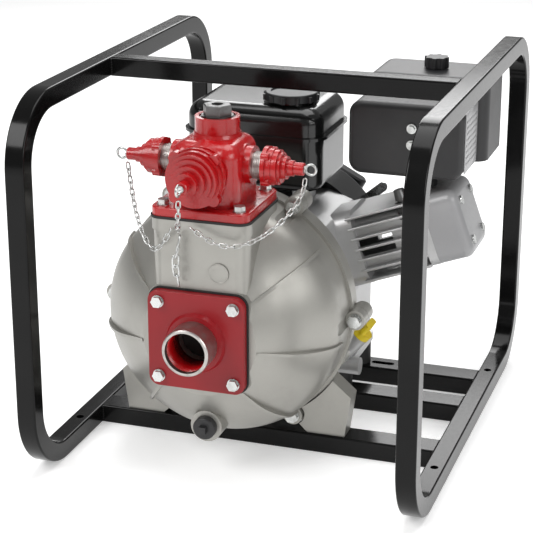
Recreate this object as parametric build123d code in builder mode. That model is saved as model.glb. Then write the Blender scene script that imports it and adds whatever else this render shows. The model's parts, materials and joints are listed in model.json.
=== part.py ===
"""Portable engine-driven fire pump in a tubular carrying frame.

Millimetres, +Z up, the frame stands on Z = 0 and is centred on X and Y. The suction inlet faces -Y,
the pump shaft lies along Y, and the engine's cylinder leans towards +X.
"""

import math
import os

from build123d import *

os.makedirs("parts", exist_ok=True)

# ---------------------------------------------------------------- driving dimensions: frame
FRAME_WIDTH = 515.6
FRAME_DEPTH = 652.4
FRAME_HEIGHT = 497.6
TUBE = 25.4
TUBE_WALL = 2.0
TUBE_EDGE = 2.4
BEND_RADIUS = 90.0
RAIL_WIDTH = 38.1
CROSSBAR_Y = -45.9
FRONT_RAIL_Y = -103.5
MIDDLE_RAIL_Y = 48.0
REAR_RAIL_Y = 146.0
FRAME_HOLE_RADIUS = 5.2
FRAME_HOLE_Y = 168.0
RAIL_SLOT_X = 95.0
RAIL_SLOT_LENGTH = 34.0
RAIL_SLOT_WIDTH = 10.0

# ---------------------------------------------------------------- driving dimensions: pump
SHAFT_X = -41.0
SHAFT_Z = 193.0
SHAFT_RADIUS = 12.7
CASING_RADIUS = 157.0
CASING_WALL = 9.0
RIM_Y = -105.0
SEAL_THICKNESS = 1.0
CASING_FRONT_Y = -247.0
GASKET_THICKNESS = 3.0
PLATE_SIZE = 127.0
PLATE_CORNER = 14.0
PLATE_THICKNESS = 9.0
PLATE_BOLT_SPACING = 98.7
PLATE_BOLT_RADIUS = 5.0
SUCTION_PIPE_RADIUS = 30.15
SUCTION_BORE_RADIUS = 26.2
SUCTION_PIPE_LENGTH = 38.0
NECK_Y = -184.0
NECK_SIZE = 130.0
NECK_TOP_Z = 346.0
NECK_BORE_RADIUS = 32.0
NECK_CORNER = 20.0
NECK_LIP = 16.0
NECK_DEPTH = 98.0
NECK_CEILING = 28.0
BOLT_CIRCLE = 166.0
LUG_RADIUS = 13.0
LUG_THICKNESS = 17.0
CASING_BOLT_RADIUS = 5.0
RIB_HEIGHT = 3.0
RIB_WIDTH = 4.0
DRAIN_Z = 66.0
DRAIN_FRONT_Y = -226.0
DRAIN_HOLE_RADIUS = 12.0
FOOT_FRONT_Y = -118.0
FOOT_THICKNESS = 29.0
BACKPLATE_Y = -100.0
BACKPLATE_THICKNESS = 10.0
BELL_RADIUS = 104.0
ENGINE_FACE_Y = -45.0
BELL_FLANGE = 12.0
PTO_BOLT_CIRCLE = 82.5
PILOT_RADIUS = 58.0
IMPELLER_RADIUS = 95.0
IMPELLER_BACK_Y = -106.0
IMPELLER_DEPTH = 40.0
IMPELLER_EYE = 36.0
IMPELLER_BLADES = 6
VOLUTE_RADIUS = 110.0
VOLUTE_OFFSET = 9.0
VOLUTE_WALL = 6.0
SEAL_RADIUS = 24.0

# ---------------------------------------------------------------- driving dimensions: manifold
MANIFOLD_PLATE = 11.0
MANIFOLD_HALF_WIDTH = 44.0
MANIFOLD_BODY_TOP_Z = 438.0
SIDE_OUTLET_Z = 406.0
FRONT_OUTLET_Z = 403.0
SIDE_HUB_REACH = 52.0
FRONT_HUB_REACH = 56.0
SIDE_PIPE_RADIUS = 16.7
SIDE_PIPE_BORE = 13.0
FRONT_PIPE_RADIUS = 24.15
FRONT_PIPE_BORE = 20.0
PIPE_SOCKET_DEPTH = 16.0
FILL_PORT_RADIUS = 28.0
FILL_BORE_RADIUS = 23.0
FILL_PORT_Z = 462.0
FILL_PORT_Y = -173.0
SIDE_CAP_RADIUS = 26.0
SIDE_CAP_LENGTH = 37.0
SIDE_PIPE_SHOWING = 14.0
FRONT_CAP_RADIUS = 38.5
FRONT_CAP_LENGTH = 40.0
FRONT_PIPE_SHOWING = 8.0
CAP_POST_LENGTH = 13.0
CAP_POST_RADIUS = 8.0
CAP_LUGS = 4
CAP_LUG_SHARE = 0.2
HOOK_PIN_RADIUS = 3.0
HOOK_WIRE_RADIUS = 1.6
HOOK_RING_RADIUS = 6.5

# ---------------------------------------------------------------- driving dimensions: chains
CHAIN_WIDTH = 7.0
TAIL_CHAIN_WIDTH = 10.0

# ---------------------------------------------------------------- driving dimensions: engine
ENGINE_BASE_Z = 57.4
ENGINE_FOOT = 12.0
ENGINE_BOLT_X = 97.5
ENGINE_BOLT_RADIUS = 4.0
MOUNT_RADIUS = 19.0
CRANKCASE_BACK_Y = 120.0
CRANKCASE_WALL = 12.0
CRANK_ROOM_RADIUS = 76.0
CRANK_WEB_RADIUS = 58.0
CRANK_THROW = 32.0
CYLINDER_TILT = 20.0
CYLINDER_Y = 60.0
CYLINDER_BORE = 44.0
CYLINDER_HALF = 50.0
CYLINDER_END = 190.0
HEAD_END = 244.0
VALVE_COVER_END = 292.0
FIN_START = 142.0
FIN_COUNT = 7
FIN_PITCH = 15.0
FIN_THICKNESS = 3.6
FIN_DEPTH = 12.0
FAN_RADIUS = 120.0
FAN_SHELL = 3.0
FAN_DEPTH = 80.0
FLYWHEEL_RADIUS = 95.0
RECOIL_RADIUS = 84.0
RECOIL_DEPTH = 34.0
TANK_LENGTH = 191.0
TANK_DEPTH = 146.0
TANK_CENTRE_X = -59.5
TANK_CENTRE_Y = 75.0
TANK_BOTTOM_Z = 316.0
TANK_TOP_Z = 430.0
TANK_SEAM_Z = 388.0
TANK_CORNER = 26.0
TANK_WALL = 2.5
FUEL_NECK_RADIUS = 30.0
FUEL_CAP_RADIUS = 36.0
GUARD_LOW_X = 77.0
GUARD_HIGH_X = 231.0
GUARD_LOW_Z = 352.0
GUARD_HIGH_Z = 450.0
GUARD_DEPTH = 90.0
GUARD_SHEET = 2.5
FILTER_Y = 154.0
FILTER_X = 158.0
FILTER_WIDTH = 168.0
FILTER_DEPTH = 112.0
FILTER_LOW_Z = 354.0
FILTER_BASE = 14.0
FILTER_HIGH_Z = 466.0

# ---------------------------------------------------------------- fits
RUNNING = 0.05
CLEARANCE = 0.3
BOLT_CLEARANCE = 0.4

SHAFT_AXIS = Axis((SHAFT_X, 0, SHAFT_Z), (0, 1, 0))
SHAFT_PROFILE = Plane(origin=(SHAFT_X, 0, SHAFT_Z), x_dir=(1, 0, 0), z_dir=(0, 0, 1))


def facing(point, direction):
    """Plane at a point whose normal is the given direction and whose local Y leans upwards."""
    normal = Vector(*direction).normalized()
    up = Vector(0, 1, 0) if abs(normal.Z) > 0.95 else Vector(0, 0, 1)
    return Plane(origin=point, x_dir=up.cross(normal), z_dir=normal)


def across_shaft(y, x=SHAFT_X, z=SHAFT_Z):
    """Plane square to the shaft whose normal points forwards, with local X along +X."""
    return Plane(origin=(x, y, z), x_dir=(1, 0, 0), z_dir=(0, -1, 0))


def disc(plane, radius, height, mode=Mode.ADD):
    """Cylinder standing on a plane, for the part being built."""
    with BuildSketch(plane) as outline:
        Circle(radius)
    extrude(outline.sketch, amount=height, mode=mode)


def hexagon(plane, flats, height, mode=Mode.ADD):
    """Hexagonal prism standing on a plane."""
    with BuildSketch(plane) as outline:
        RegularPolygon(flats / 2, 6, major_radius=False)
    extrude(outline.sketch, amount=height, mode=mode)


def slab(plane, width, depth, corner, height, mode=Mode.ADD):
    """Rounded rectangular plate standing on a plane."""
    with BuildSketch(plane) as outline:
        RectangleRounded(width, depth, corner)
    extrude(outline.sketch, amount=height, mode=mode)


def hex_bolt(plane, radius, grip, flats, head, washer=2.0):
    """Bolt with its head and washer above the plane and its shank below."""
    disc(plane, flats * 0.62, washer)
    hexagon(plane.offset(washer), flats, head)
    disc(plane, radius, -grip)


def torus_ring(plane, ring_radius, wire_radius):
    """Closed ring of round wire lying in a plane."""
    section = Plane(origin=plane.origin, x_dir=plane.x_dir, z_dir=-plane.y_dir)
    with BuildSketch(section) as wire:
        with Locations((ring_radius, 0)):
            Circle(wire_radius)
    revolve(wire.sketch, axis=Axis(plane.origin, plane.z_dir))


# ================================================================ carrying frame
HOOP_X = (FRAME_WIDTH - TUBE) / 2
RAIL_HALF = FRAME_WIDTH / 2 - TUBE


def build_hoop(x):
    """Closed rounded rectangle of square tube, bent in a plane square to X."""
    hoop_plane = Plane(origin=(x, 0, FRAME_HEIGHT / 2), x_dir=(0, 1, 0), z_dir=(1, 0, 0))
    with BuildPart() as hoop:
        with BuildSketch(hoop_plane):
            RectangleRounded(FRAME_DEPTH, FRAME_HEIGHT, BEND_RADIUS)
            RectangleRounded(FRAME_DEPTH - 2 * TUBE, FRAME_HEIGHT - 2 * TUBE, BEND_RADIUS - TUBE,
                             mode=Mode.SUBTRACT)
        extrude(amount=TUBE / 2, both=True)
        fillet(hoop.edges().filter_by(lambda edge: edge.bounding_box().size.X < 0.01), TUBE_EDGE)
        outer = TUBE_WALL
        inner = TUBE - TUBE_WALL
        with BuildSketch(hoop_plane):
            RectangleRounded(FRAME_DEPTH - 2 * outer, FRAME_HEIGHT - 2 * outer, BEND_RADIUS - outer)
            RectangleRounded(FRAME_DEPTH - 2 * inner, FRAME_HEIGHT - 2 * inner, BEND_RADIUS - inner,
                             mode=Mode.SUBTRACT)
        extrude(amount=TUBE / 2 - TUBE_WALL, both=True, mode=Mode.SUBTRACT)
        with BuildSketch(Plane.XY):
            with Locations((x, FRAME_HOLE_Y), (x, -FRAME_HOLE_Y)):
                Circle(FRAME_HOLE_RADIUS)
        extrude(amount=TUBE, mode=Mode.SUBTRACT)
    return hoop


def rail_tube(y, z, width):
    """Straight rectangular tube between the hoops, for the part being built."""
    start = Plane(origin=(-RAIL_HALF, y, z), x_dir=(0, 1, 0), z_dir=(1, 0, 0))
    slab(start, width, TUBE, TUBE_EDGE, 2 * RAIL_HALF)
    with BuildSketch(start) as hollow:
        Rectangle(width - 2 * TUBE_WALL, TUBE - 2 * TUBE_WALL)
    extrude(hollow.sketch, amount=2 * RAIL_HALF, mode=Mode.SUBTRACT)


left_hoop = build_hoop(-HOOP_X)
right_hoop = build_hoop(HOOP_X)

with BuildPart() as top_crossbar:
    rail_tube(CROSSBAR_Y, FRAME_HEIGHT - TUBE / 2, TUBE)

ENGINE_BOLTS_X = (SHAFT_X - ENGINE_BOLT_X, SHAFT_X + ENGINE_BOLT_X)
FOOT_BOLT_X = 87.0
FOOT_BOLT_OFFSET = FOOT_BOLT_X - SHAFT_X
NUT_ACCESS_RADIUS = 10.0


def bolt_holes(y, x_places):
    """Clearance hole in a rail's top wall and an access hole in its bottom wall, per bolt."""
    for x in x_places:
        disc(Plane(origin=(x, y, TUBE)), ENGINE_BOLT_RADIUS + BOLT_CLEARANCE, -2 * TUBE_WALL, Mode.SUBTRACT)
        disc(Plane(origin=(x, y, 0)), NUT_ACCESS_RADIUS, 2 * TUBE_WALL, Mode.SUBTRACT)


with BuildPart() as front_rail:
    rail_tube(FRONT_RAIL_Y, TUBE / 2, RAIL_WIDTH)
    bolt_holes(FRONT_RAIL_Y, (SHAFT_X - FOOT_BOLT_OFFSET, SHAFT_X + FOOT_BOLT_OFFSET))

with BuildPart() as middle_rail:
    rail_tube(MIDDLE_RAIL_Y, TUBE / 2, RAIL_WIDTH)
    bolt_holes(MIDDLE_RAIL_Y, ENGINE_BOLTS_X)

with BuildPart() as rear_rail:
    rail_tube(REAR_RAIL_Y, TUBE / 2, RAIL_WIDTH)
    bolt_holes(REAR_RAIL_Y, ENGINE_BOLTS_X)
    with BuildSketch(Plane.XY):
        with Locations((RAIL_SLOT_X, REAR_RAIL_Y)):
            SlotOverall(RAIL_SLOT_LENGTH, RAIL_SLOT_WIDTH)
    extrude(amount=TUBE, mode=Mode.SUBTRACT)

with BuildPart() as rubber_mounts:
    for x in ENGINE_BOLTS_X:
        for y in (MIDDLE_RAIL_Y, REAR_RAIL_Y):
            disc(Plane(origin=(x, y, TUBE)), MOUNT_RADIUS, ENGINE_BASE_Z - TUBE)
            disc(Plane(origin=(x, y, TUBE)), ENGINE_BOLT_RADIUS, ENGINE_BASE_Z - TUBE, Mode.SUBTRACT)

NUT_FLATS = 13.0
NUT_HEIGHT = 6.5
with BuildPart() as mount_bolts:
    for x in ENGINE_BOLTS_X:
        for y in (MIDDLE_RAIL_Y, REAR_RAIL_Y):
            low = Plane(origin=(x, y, TUBE - TUBE_WALL))
            high = Plane(origin=(x, y, ENGINE_BASE_Z + ENGINE_FOOT))
            hexagon(low, NUT_FLATS, -NUT_HEIGHT)
            hexagon(high, NUT_FLATS, NUT_HEIGHT)
            disc(low.offset(-NUT_HEIGHT), ENGINE_BOLT_RADIUS,
                 high.origin.Z - low.origin.Z + 2 * NUT_HEIGHT + 3)
    for x in (SHAFT_X - FOOT_BOLT_OFFSET, SHAFT_X + FOOT_BOLT_OFFSET):
        low = Plane(origin=(x, FRONT_RAIL_Y, TUBE - TUBE_WALL))
        hexagon(low, NUT_FLATS, -NUT_HEIGHT)
        disc(low, ENGINE_BOLT_RADIUS, TUBE_WALL + 16)

# ================================================================ pump casing
RIM_FRONT_Y = RIM_Y - SEAL_THICKNESS
LUG_ANGLES = (0, 60, 120, 180, 240, 300)
RIB_ANGLES = (-8, 38, 142, 188, 232, 308)
SPIGOT = 8.0


def around_shaft(angle, radius):
    """Offset (x, z) from the shaft at an angle from +X."""
    return radius * math.cos(math.radians(angle)), radius * math.sin(math.radians(angle))


def casing_profile(inset, back):
    """Half section of the bulb, inset from its outside: radius from the shaft against Y."""
    shoulder = CASING_RADIUS - inset
    front = CASING_FRONT_Y + inset
    with BuildLine() as profile:
        Line((0, back), (shoulder, back))
        Line((shoulder, back), (shoulder, RIM_Y - 45))
        Spline((shoulder, RIM_Y - 45), (shoulder - 16, RIM_Y - 85), (shoulder - 44, RIM_Y - 115),
               (shoulder - 82, front), tangents=((0, -1), (-1, -0.7)))
        Line((shoulder - 82, front), (0, front))
        Line((0, front), (0, back))
    make_face(profile.line.edges())


def foot_outline(side):
    """Cast foot seen from the front: side is +1 for the right foot and -1 for the left."""
    points = ((134, -88), (161, -111), (153, TUBE - SHAFT_Z), (102, TUBE - SHAFT_Z), (87, -153),
              (70, -110), (100, -80))
    with BuildLine() as profile:
        Polyline(*[(side * x, z) for x, z in points], close=True)
    make_face(profile.line.edges())


with BuildPart() as front_casing:
    with BuildSketch(SHAFT_PROFILE):
        casing_profile(0, RIM_FRONT_Y)
    revolve(axis=SHAFT_AXIS)
    disc(across_shaft(RIM_FRONT_Y), CASING_RADIUS + 4, SPIGOT)
    for angle in RIB_ANGLES:
        dx, dz = around_shaft(angle, 1)
        rib_plane = Plane(origin=(SHAFT_X, 0, SHAFT_Z), x_dir=(dx, 0, dz), z_dir=(-dz, 0, dx))
        with BuildSketch(rib_plane):
            with BuildLine():
                Spline((CASING_RADIUS + RIB_HEIGHT, RIM_Y - 45),
                       (CASING_RADIUS + RIB_HEIGHT - 14, RIM_Y - 87),
                       (CASING_RADIUS + RIB_HEIGHT - 42, RIM_Y - 118),
                       (CASING_RADIUS - 80, CASING_FRONT_Y),
                       tangents=((0, -1), (-1, -0.7)))
                Line((CASING_RADIUS - 80, CASING_FRONT_Y), (CASING_RADIUS - 80, RIM_Y - 45))
                Line((CASING_RADIUS - 80, RIM_Y - 45), (CASING_RADIUS + RIB_HEIGHT, RIM_Y - 45))
            make_face()
        extrude(amount=RIB_WIDTH / 2, both=True)
    slab(across_shaft(CASING_FRONT_Y + 40), PLATE_SIZE + 6, PLATE_SIZE + 6, PLATE_CORNER + 3, 40)
    neck_plane = Plane(origin=(SHAFT_X, NECK_Y, NECK_TOP_Z))
    slab(neck_plane, NECK_SIZE, NECK_SIZE, NECK_CORNER, -NECK_LIP)
    slab(neck_plane, NECK_SIZE - 3, NECK_SIZE - 3, NECK_CORNER, -NECK_DEPTH)
    for angle in LUG_ANGLES:
        dx, dz = around_shaft(angle, BOLT_CIRCLE)
        disc(across_shaft(RIM_FRONT_Y, SHAFT_X + dx, SHAFT_Z + dz), LUG_RADIUS, LUG_THICKNESS)
    disc(across_shaft(DRAIN_FRONT_Y, z=DRAIN_Z), DRAIN_HOLE_RADIUS + 9, -60)
    with BuildSketch(SHAFT_PROFILE):
        casing_profile(CASING_WALL, RIM_Y + 10)
    revolve(axis=SHAFT_AXIS, mode=Mode.SUBTRACT)
    disc(neck_plane, NECK_BORE_RADIUS, -NECK_DEPTH, Mode.SUBTRACT)
    hollow = NECK_SIZE - 2 * CASING_WALL - 6
    slab(neck_plane.offset(-NECK_CEILING), hollow, hollow, NECK_CORNER - 6, NECK_CEILING - NECK_DEPTH + 12,
         Mode.SUBTRACT)
    slab(neck_plane, PLATE_SIZE + 8, PLATE_SIZE + 8, PLATE_CORNER, NECK_LIP, Mode.SUBTRACT)
    slab(across_shaft(CASING_FRONT_Y), 2 * PLATE_SIZE, 2 * PLATE_SIZE, PLATE_CORNER, CASING_WALL,
         Mode.SUBTRACT)
    disc(across_shaft(CASING_FRONT_Y + 60), SUCTION_BORE_RADIUS, 60, Mode.SUBTRACT)
    disc(across_shaft(DRAIN_FRONT_Y + 40, z=DRAIN_Z), DRAIN_HOLE_RADIUS, 40, Mode.SUBTRACT)
    for angle in LUG_ANGLES:
        dx, dz = around_shaft(angle, BOLT_CIRCLE)
        place = across_shaft(RIM_FRONT_Y, SHAFT_X + dx, SHAFT_Z + dz)
        disc(place, CASING_BOLT_RADIUS + BOLT_CLEARANCE, LUG_THICKNESS, Mode.SUBTRACT)
        disc(place.offset(LUG_THICKNESS), LUG_RADIUS, 40, Mode.SUBTRACT)
    with BuildSketch(across_shaft(CASING_FRONT_Y)):
        with GridLocations(PLATE_BOLT_SPACING, PLATE_BOLT_SPACING, 2, 2):
            Circle(PLATE_BOLT_RADIUS)
    extrude(amount=-22, mode=Mode.SUBTRACT)
    with BuildSketch(neck_plane):
        with GridLocations(PLATE_BOLT_SPACING, PLATE_BOLT_SPACING, 2, 2):
            Circle(PLATE_BOLT_RADIUS)
    extrude(amount=-22, mode=Mode.SUBTRACT)

with BuildPart() as casing_seal:
    disc(across_shaft(RIM_Y), CASING_RADIUS - 1, SEAL_THICKNESS)
    disc(across_shaft(RIM_Y), CASING_RADIUS - CASING_WALL, SEAL_THICKNESS, Mode.SUBTRACT)

with BuildPart() as rear_casing:
    with BuildSketch(SHAFT_PROFILE):
        with BuildLine():
            Polyline((0, RIM_Y), (CASING_RADIUS, RIM_Y), (CASING_RADIUS, RIM_Y + 24),
                     (CASING_RADIUS - 12, RIM_Y + 40), (BELL_RADIUS + 14, ENGINE_FACE_Y),
                     (0, ENGINE_FACE_Y), close=True)
        make_face()
    revolve(axis=SHAFT_AXIS)
    for angle in LUG_ANGLES:
        dx, dz = around_shaft(angle, BOLT_CIRCLE)
        disc(across_shaft(RIM_Y, SHAFT_X + dx, SHAFT_Z + dz), LUG_RADIUS, -22)
    for side in (-1, 1):
        with BuildSketch(across_shaft(FOOT_FRONT_Y + FOOT_THICKNESS)):
            foot_outline(side)
        extrude(amount=FOOT_THICKNESS)
    disc(across_shaft(RIM_Y), CASING_RADIUS + 6, 40, Mode.SUBTRACT)
    disc(across_shaft(RIM_Y + 20, SHAFT_X + 138, SHAFT_Z - 62), 11, 20)
    disc(across_shaft(RIM_Y, SHAFT_X + 138, SHAFT_Z - 62), 6, -16, Mode.SUBTRACT)
    for angle in LUG_ANGLES:
        dx, dz = around_shaft(angle, BOLT_CIRCLE)
        place = across_shaft(RIM_Y, SHAFT_X + dx, SHAFT_Z + dz)
        disc(place, LUG_RADIUS + 2, 40, Mode.SUBTRACT)
        disc(place, CASING_BOLT_RADIUS + RUNNING, -22, Mode.SUBTRACT)
    disc(across_shaft(BACKPLATE_Y), CASING_RADIUS - CASING_WALL, 10, Mode.SUBTRACT)
    disc(across_shaft(ENGINE_FACE_Y - BELL_FLANGE), BELL_RADIUS,
         ENGINE_FACE_Y - BELL_FLANGE - BACKPLATE_Y - BACKPLATE_THICKNESS, Mode.SUBTRACT)
    disc(across_shaft(ENGINE_FACE_Y), PILOT_RADIUS, 20, Mode.SUBTRACT)
    disc(across_shaft(ENGINE_FACE_Y), SEAL_RADIUS, 80, Mode.SUBTRACT)
    with BuildSketch(across_shaft(ENGINE_FACE_Y)):
        with PolarLocations(PTO_BOLT_CIRCLE, 4, 45):
            Circle(CASING_BOLT_RADIUS + BOLT_CLEARANCE)
    extrude(amount=BELL_FLANGE, mode=Mode.SUBTRACT)
    with BuildSketch(Plane(origin=(SHAFT_X, (BACKPLATE_Y + ENGINE_FACE_Y) / 2, 0))):
        RectangleRounded(70, 24, 8)
    extrude(amount=SHAFT_Z - 60, mode=Mode.SUBTRACT)
    with BuildSketch(Plane.XY.offset(TUBE)):
        with Locations((SHAFT_X, FRONT_RAIL_Y)):
            with GridLocations(2 * FOOT_BOLT_OFFSET, 1, 2, 1):
                Circle(ENGINE_BOLT_RADIUS + RUNNING)
    extrude(amount=18, mode=Mode.SUBTRACT)

with BuildPart() as casing_bolts:
    for angle in LUG_ANGLES:
        dx, dz = around_shaft(angle, BOLT_CIRCLE)
        hex_bolt(across_shaft(RIM_FRONT_Y - LUG_THICKNESS, SHAFT_X + dx, SHAFT_Z + dz),
                 CASING_BOLT_RADIUS, LUG_THICKNESS + 18, 15, 6)

# ================================================================ suction side
PLATE_BACK_Y = CASING_FRONT_Y - GASKET_THICKNESS
PLATE_FRONT_Y = PLATE_BACK_Y - PLATE_THICKNESS
SUCTION_BOSS = 5.0
SPIGOT_RADIUS = (SUCTION_PIPE_RADIUS + SUCTION_BORE_RADIUS) / 2
PIPE_FRONT_Y = PLATE_FRONT_Y - SUCTION_PIPE_LENGTH


def square_holes(plane, radius, depth):
    """Four holes on the square bolt pattern shared by the suction and discharge flanges."""
    with BuildSketch(plane) as holes:
        with GridLocations(PLATE_BOLT_SPACING, PLATE_BOLT_SPACING, 2, 2):
            Circle(radius)
    extrude(holes.sketch, amount=depth, mode=Mode.SUBTRACT)


with BuildPart() as suction_gasket:
    slab(across_shaft(CASING_FRONT_Y), PLATE_SIZE + 4, PLATE_SIZE + 4, PLATE_CORNER + 2, GASKET_THICKNESS)
    disc(across_shaft(CASING_FRONT_Y), SUCTION_PIPE_RADIUS + 4, GASKET_THICKNESS, Mode.SUBTRACT)
    square_holes(across_shaft(CASING_FRONT_Y), PLATE_BOLT_RADIUS + BOLT_CLEARANCE, GASKET_THICKNESS)

with BuildPart() as suction_flange:
    slab(across_shaft(PLATE_BACK_Y), PLATE_SIZE, PLATE_SIZE, PLATE_CORNER, PLATE_THICKNESS)
    fillet(suction_flange.faces().sort_by(Axis.Y)[0].edges(), 1.5)
    with BuildSketch(across_shaft(PLATE_FRONT_Y)):
        Circle(SUCTION_PIPE_RADIUS + 9)
    extrude(amount=SUCTION_BOSS, taper=30)
    disc(across_shaft(PLATE_BACK_Y), SPIGOT_RADIUS, PLATE_THICKNESS + SUCTION_BOSS, Mode.SUBTRACT)
    square_holes(across_shaft(PLATE_BACK_Y), PLATE_BOLT_RADIUS + BOLT_CLEARANCE, PLATE_THICKNESS)

with BuildPart() as suction_nipple:
    disc(across_shaft(PLATE_BACK_Y), SPIGOT_RADIUS, PLATE_THICKNESS + SUCTION_BOSS)
    disc(across_shaft(PLATE_FRONT_Y - SUCTION_BOSS), SUCTION_PIPE_RADIUS, SUCTION_PIPE_LENGTH - SUCTION_BOSS)
    chamfer(suction_nipple.faces().sort_by(Axis.Y)[0].edges(), 1.2)
    disc(across_shaft(PLATE_BACK_Y), SUCTION_BORE_RADIUS, PLATE_BACK_Y - PIPE_FRONT_Y, Mode.SUBTRACT)

with BuildPart() as suction_bolts:
    for dx in (-PLATE_BOLT_SPACING / 2, PLATE_BOLT_SPACING / 2):
        for dz in (-PLATE_BOLT_SPACING / 2, PLATE_BOLT_SPACING / 2):
            hex_bolt(across_shaft(PLATE_FRONT_Y, SHAFT_X + dx, SHAFT_Z + dz),
                     PLATE_BOLT_RADIUS - RUNNING, PLATE_THICKNESS + GASKET_THICKNESS + 20, 13, 5, 1.5)

SEAT_Y = CASING_FRONT_Y + CASING_WALL
FLAP_RADIUS = SUCTION_BORE_RADIUS + 8
FLAP_THICKNESS = 5.0
FLAP_PIVOT_Z = SHAFT_Z + FLAP_RADIUS + 6
with BuildPart() as valve_flap:
    disc(across_shaft(SEAT_Y + CLEARANCE), FLAP_RADIUS, -FLAP_THICKNESS)
    with BuildSketch(across_shaft(SEAT_Y + CLEARANCE, z=FLAP_PIVOT_Z - 9)):
        Rectangle(24, 18)
    extrude(amount=-FLAP_THICKNESS)
    disc(facing((SHAFT_X - 20, SEAT_Y + CLEARANCE + 4, FLAP_PIVOT_Z), (1, 0, 0)), 4, 40)

# ================================================================ rotor and wet parts
with BuildPart() as volute:
    back = across_shaft(BACKPLATE_Y, x=SHAFT_X + VOLUTE_OFFSET)
    depth = IMPELLER_DEPTH + 16
    disc(back, VOLUTE_RADIUS + VOLUTE_WALL, depth)
    disc(back, VOLUTE_RADIUS, depth - VOLUTE_WALL, Mode.SUBTRACT)
    disc(across_shaft(BACKPLATE_Y), IMPELLER_EYE + 3, depth, Mode.SUBTRACT)
    with BuildSketch(Plane(origin=(SHAFT_X - 72, BACKPLATE_Y - depth / 2, SHAFT_Z + 40))):
        RectangleRounded(30, depth - 16, 6)
    extrude(amount=100, mode=Mode.SUBTRACT)

with BuildPart() as impeller:
    hub = across_shaft(IMPELLER_BACK_Y)
    disc(hub, IMPELLER_RADIUS, 6)
    disc(hub, 24, IMPELLER_DEPTH - 6)
    with BuildSketch(hub.offset(6)):
        with PolarLocations(0, IMPELLER_BLADES):
            with BuildLine() as camber:
                ThreePointArc((25, 0), (58, 22), (74, 58))
            trace(camber.line, 5)
    extrude(amount=IMPELLER_DEPTH - 12)
    disc(hub.offset(IMPELLER_DEPTH - 6), IMPELLER_RADIUS, 5)
    disc(hub.offset(IMPELLER_DEPTH - 1), IMPELLER_EYE, 6)
    with BuildSketch(hub.offset(IMPELLER_DEPTH - 6)):
        Circle(IMPELLER_EYE - 4)
    extrude(amount=12, mode=Mode.SUBTRACT)
    disc(hub, SHAFT_RADIUS, 60, Mode.SUBTRACT)

with BuildPart() as shaft_seal:
    disc(across_shaft(BACKPLATE_Y + BACKPLATE_THICKNESS), SEAL_RADIUS, BACKPLATE_THICKNESS + 4)
    disc(across_shaft(BACKPLATE_Y + BACKPLATE_THICKNESS), SHAFT_RADIUS + RUNNING,
         BACKPLATE_THICKNESS + 4, Mode.SUBTRACT)

WEB_THICKNESS = 22.0
WEB_GAP = 28.0
FLYWHEEL_FRONT_Y = CRANKCASE_BACK_Y + 10
FLYWHEEL_DEPTH = 46.0
with BuildPart() as crankshaft:
    disc(across_shaft(FLYWHEEL_FRONT_Y), SHAFT_RADIUS, FLYWHEEL_FRONT_Y - IMPELLER_BACK_Y + IMPELLER_DEPTH)
    disc(across_shaft(FLYWHEEL_FRONT_Y + FLYWHEEL_DEPTH + 6), SHAFT_RADIUS - 2, FLYWHEEL_DEPTH + 6)
    for y in (CYLINDER_Y - WEB_GAP / 2, CYLINDER_Y + WEB_GAP / 2 + WEB_THICKNESS):
        disc(across_shaft(y), CRANK_WEB_RADIUS, WEB_THICKNESS)
    with BuildSketch(across_shaft(CYLINDER_Y + WEB_GAP / 2)):
        Circle(SHAFT_RADIUS + RUNNING)
    extrude(amount=WEB_GAP, mode=Mode.SUBTRACT)
    disc(across_shaft(CYLINDER_Y + WEB_GAP / 2, SHAFT_X + CRANK_THROW), 15, WEB_GAP)

with BuildPart() as flywheel:
    front = across_shaft(FLYWHEEL_FRONT_Y)
    disc(front, FLYWHEEL_RADIUS - 14, -FLYWHEEL_DEPTH)
    with BuildSketch(front.offset(-12)):
        Circle(FLYWHEEL_RADIUS)
    extrude(amount=-8)
    with BuildSketch(front.offset(-20)):
        with PolarLocations(FLYWHEEL_RADIUS - 16, 14):
            Rectangle(28, 3)
    extrude(amount=-FLYWHEEL_DEPTH + 20)
    disc(front, FLYWHEEL_RADIUS - 22, -6, Mode.SUBTRACT)
    disc(front, SHAFT_RADIUS + 8, -10)
    disc(front, SHAFT_RADIUS - 2, -FLYWHEEL_DEPTH - 10, Mode.SUBTRACT)

with BuildPart() as drain_plug:
    front = across_shaft(DRAIN_FRONT_Y - CLEARANCE, z=DRAIN_Z)
    disc(front, DRAIN_HOLE_RADIUS + 3, 10)
    fillet(drain_plug.faces().sort_by(Axis.Y)[0].edges(), 2.5)
    with BuildSketch(front.offset(10)):
        Rectangle(9, 9)
    extrude(amount=6)
    disc(front, DRAIN_HOLE_RADIUS - CLEARANCE, -14)

# ================================================================ discharge manifold
MANIFOLD_PLANE = Plane(origin=(SHAFT_X, NECK_Y, NECK_TOP_Z))
PLATE_LOW = MANIFOLD_PLANE.offset(GASKET_THICKNESS)
PLATE_HIGH = PLATE_LOW.offset(MANIFOLD_PLATE)
PLATE_HIGH_Z = NECK_TOP_Z + GASKET_THICKNESS + MANIFOLD_PLATE

with BuildPart() as manifold_gasket:
    slab(MANIFOLD_PLANE, PLATE_SIZE + 4, PLATE_SIZE + 4, PLATE_CORNER + 2, GASKET_THICKNESS)
    disc(MANIFOLD_PLANE, NECK_BORE_RADIUS, GASKET_THICKNESS, Mode.SUBTRACT)
    square_holes(MANIFOLD_PLANE, PLATE_BOLT_RADIUS + BOLT_CLEARANCE, GASKET_THICKNESS)

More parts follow.
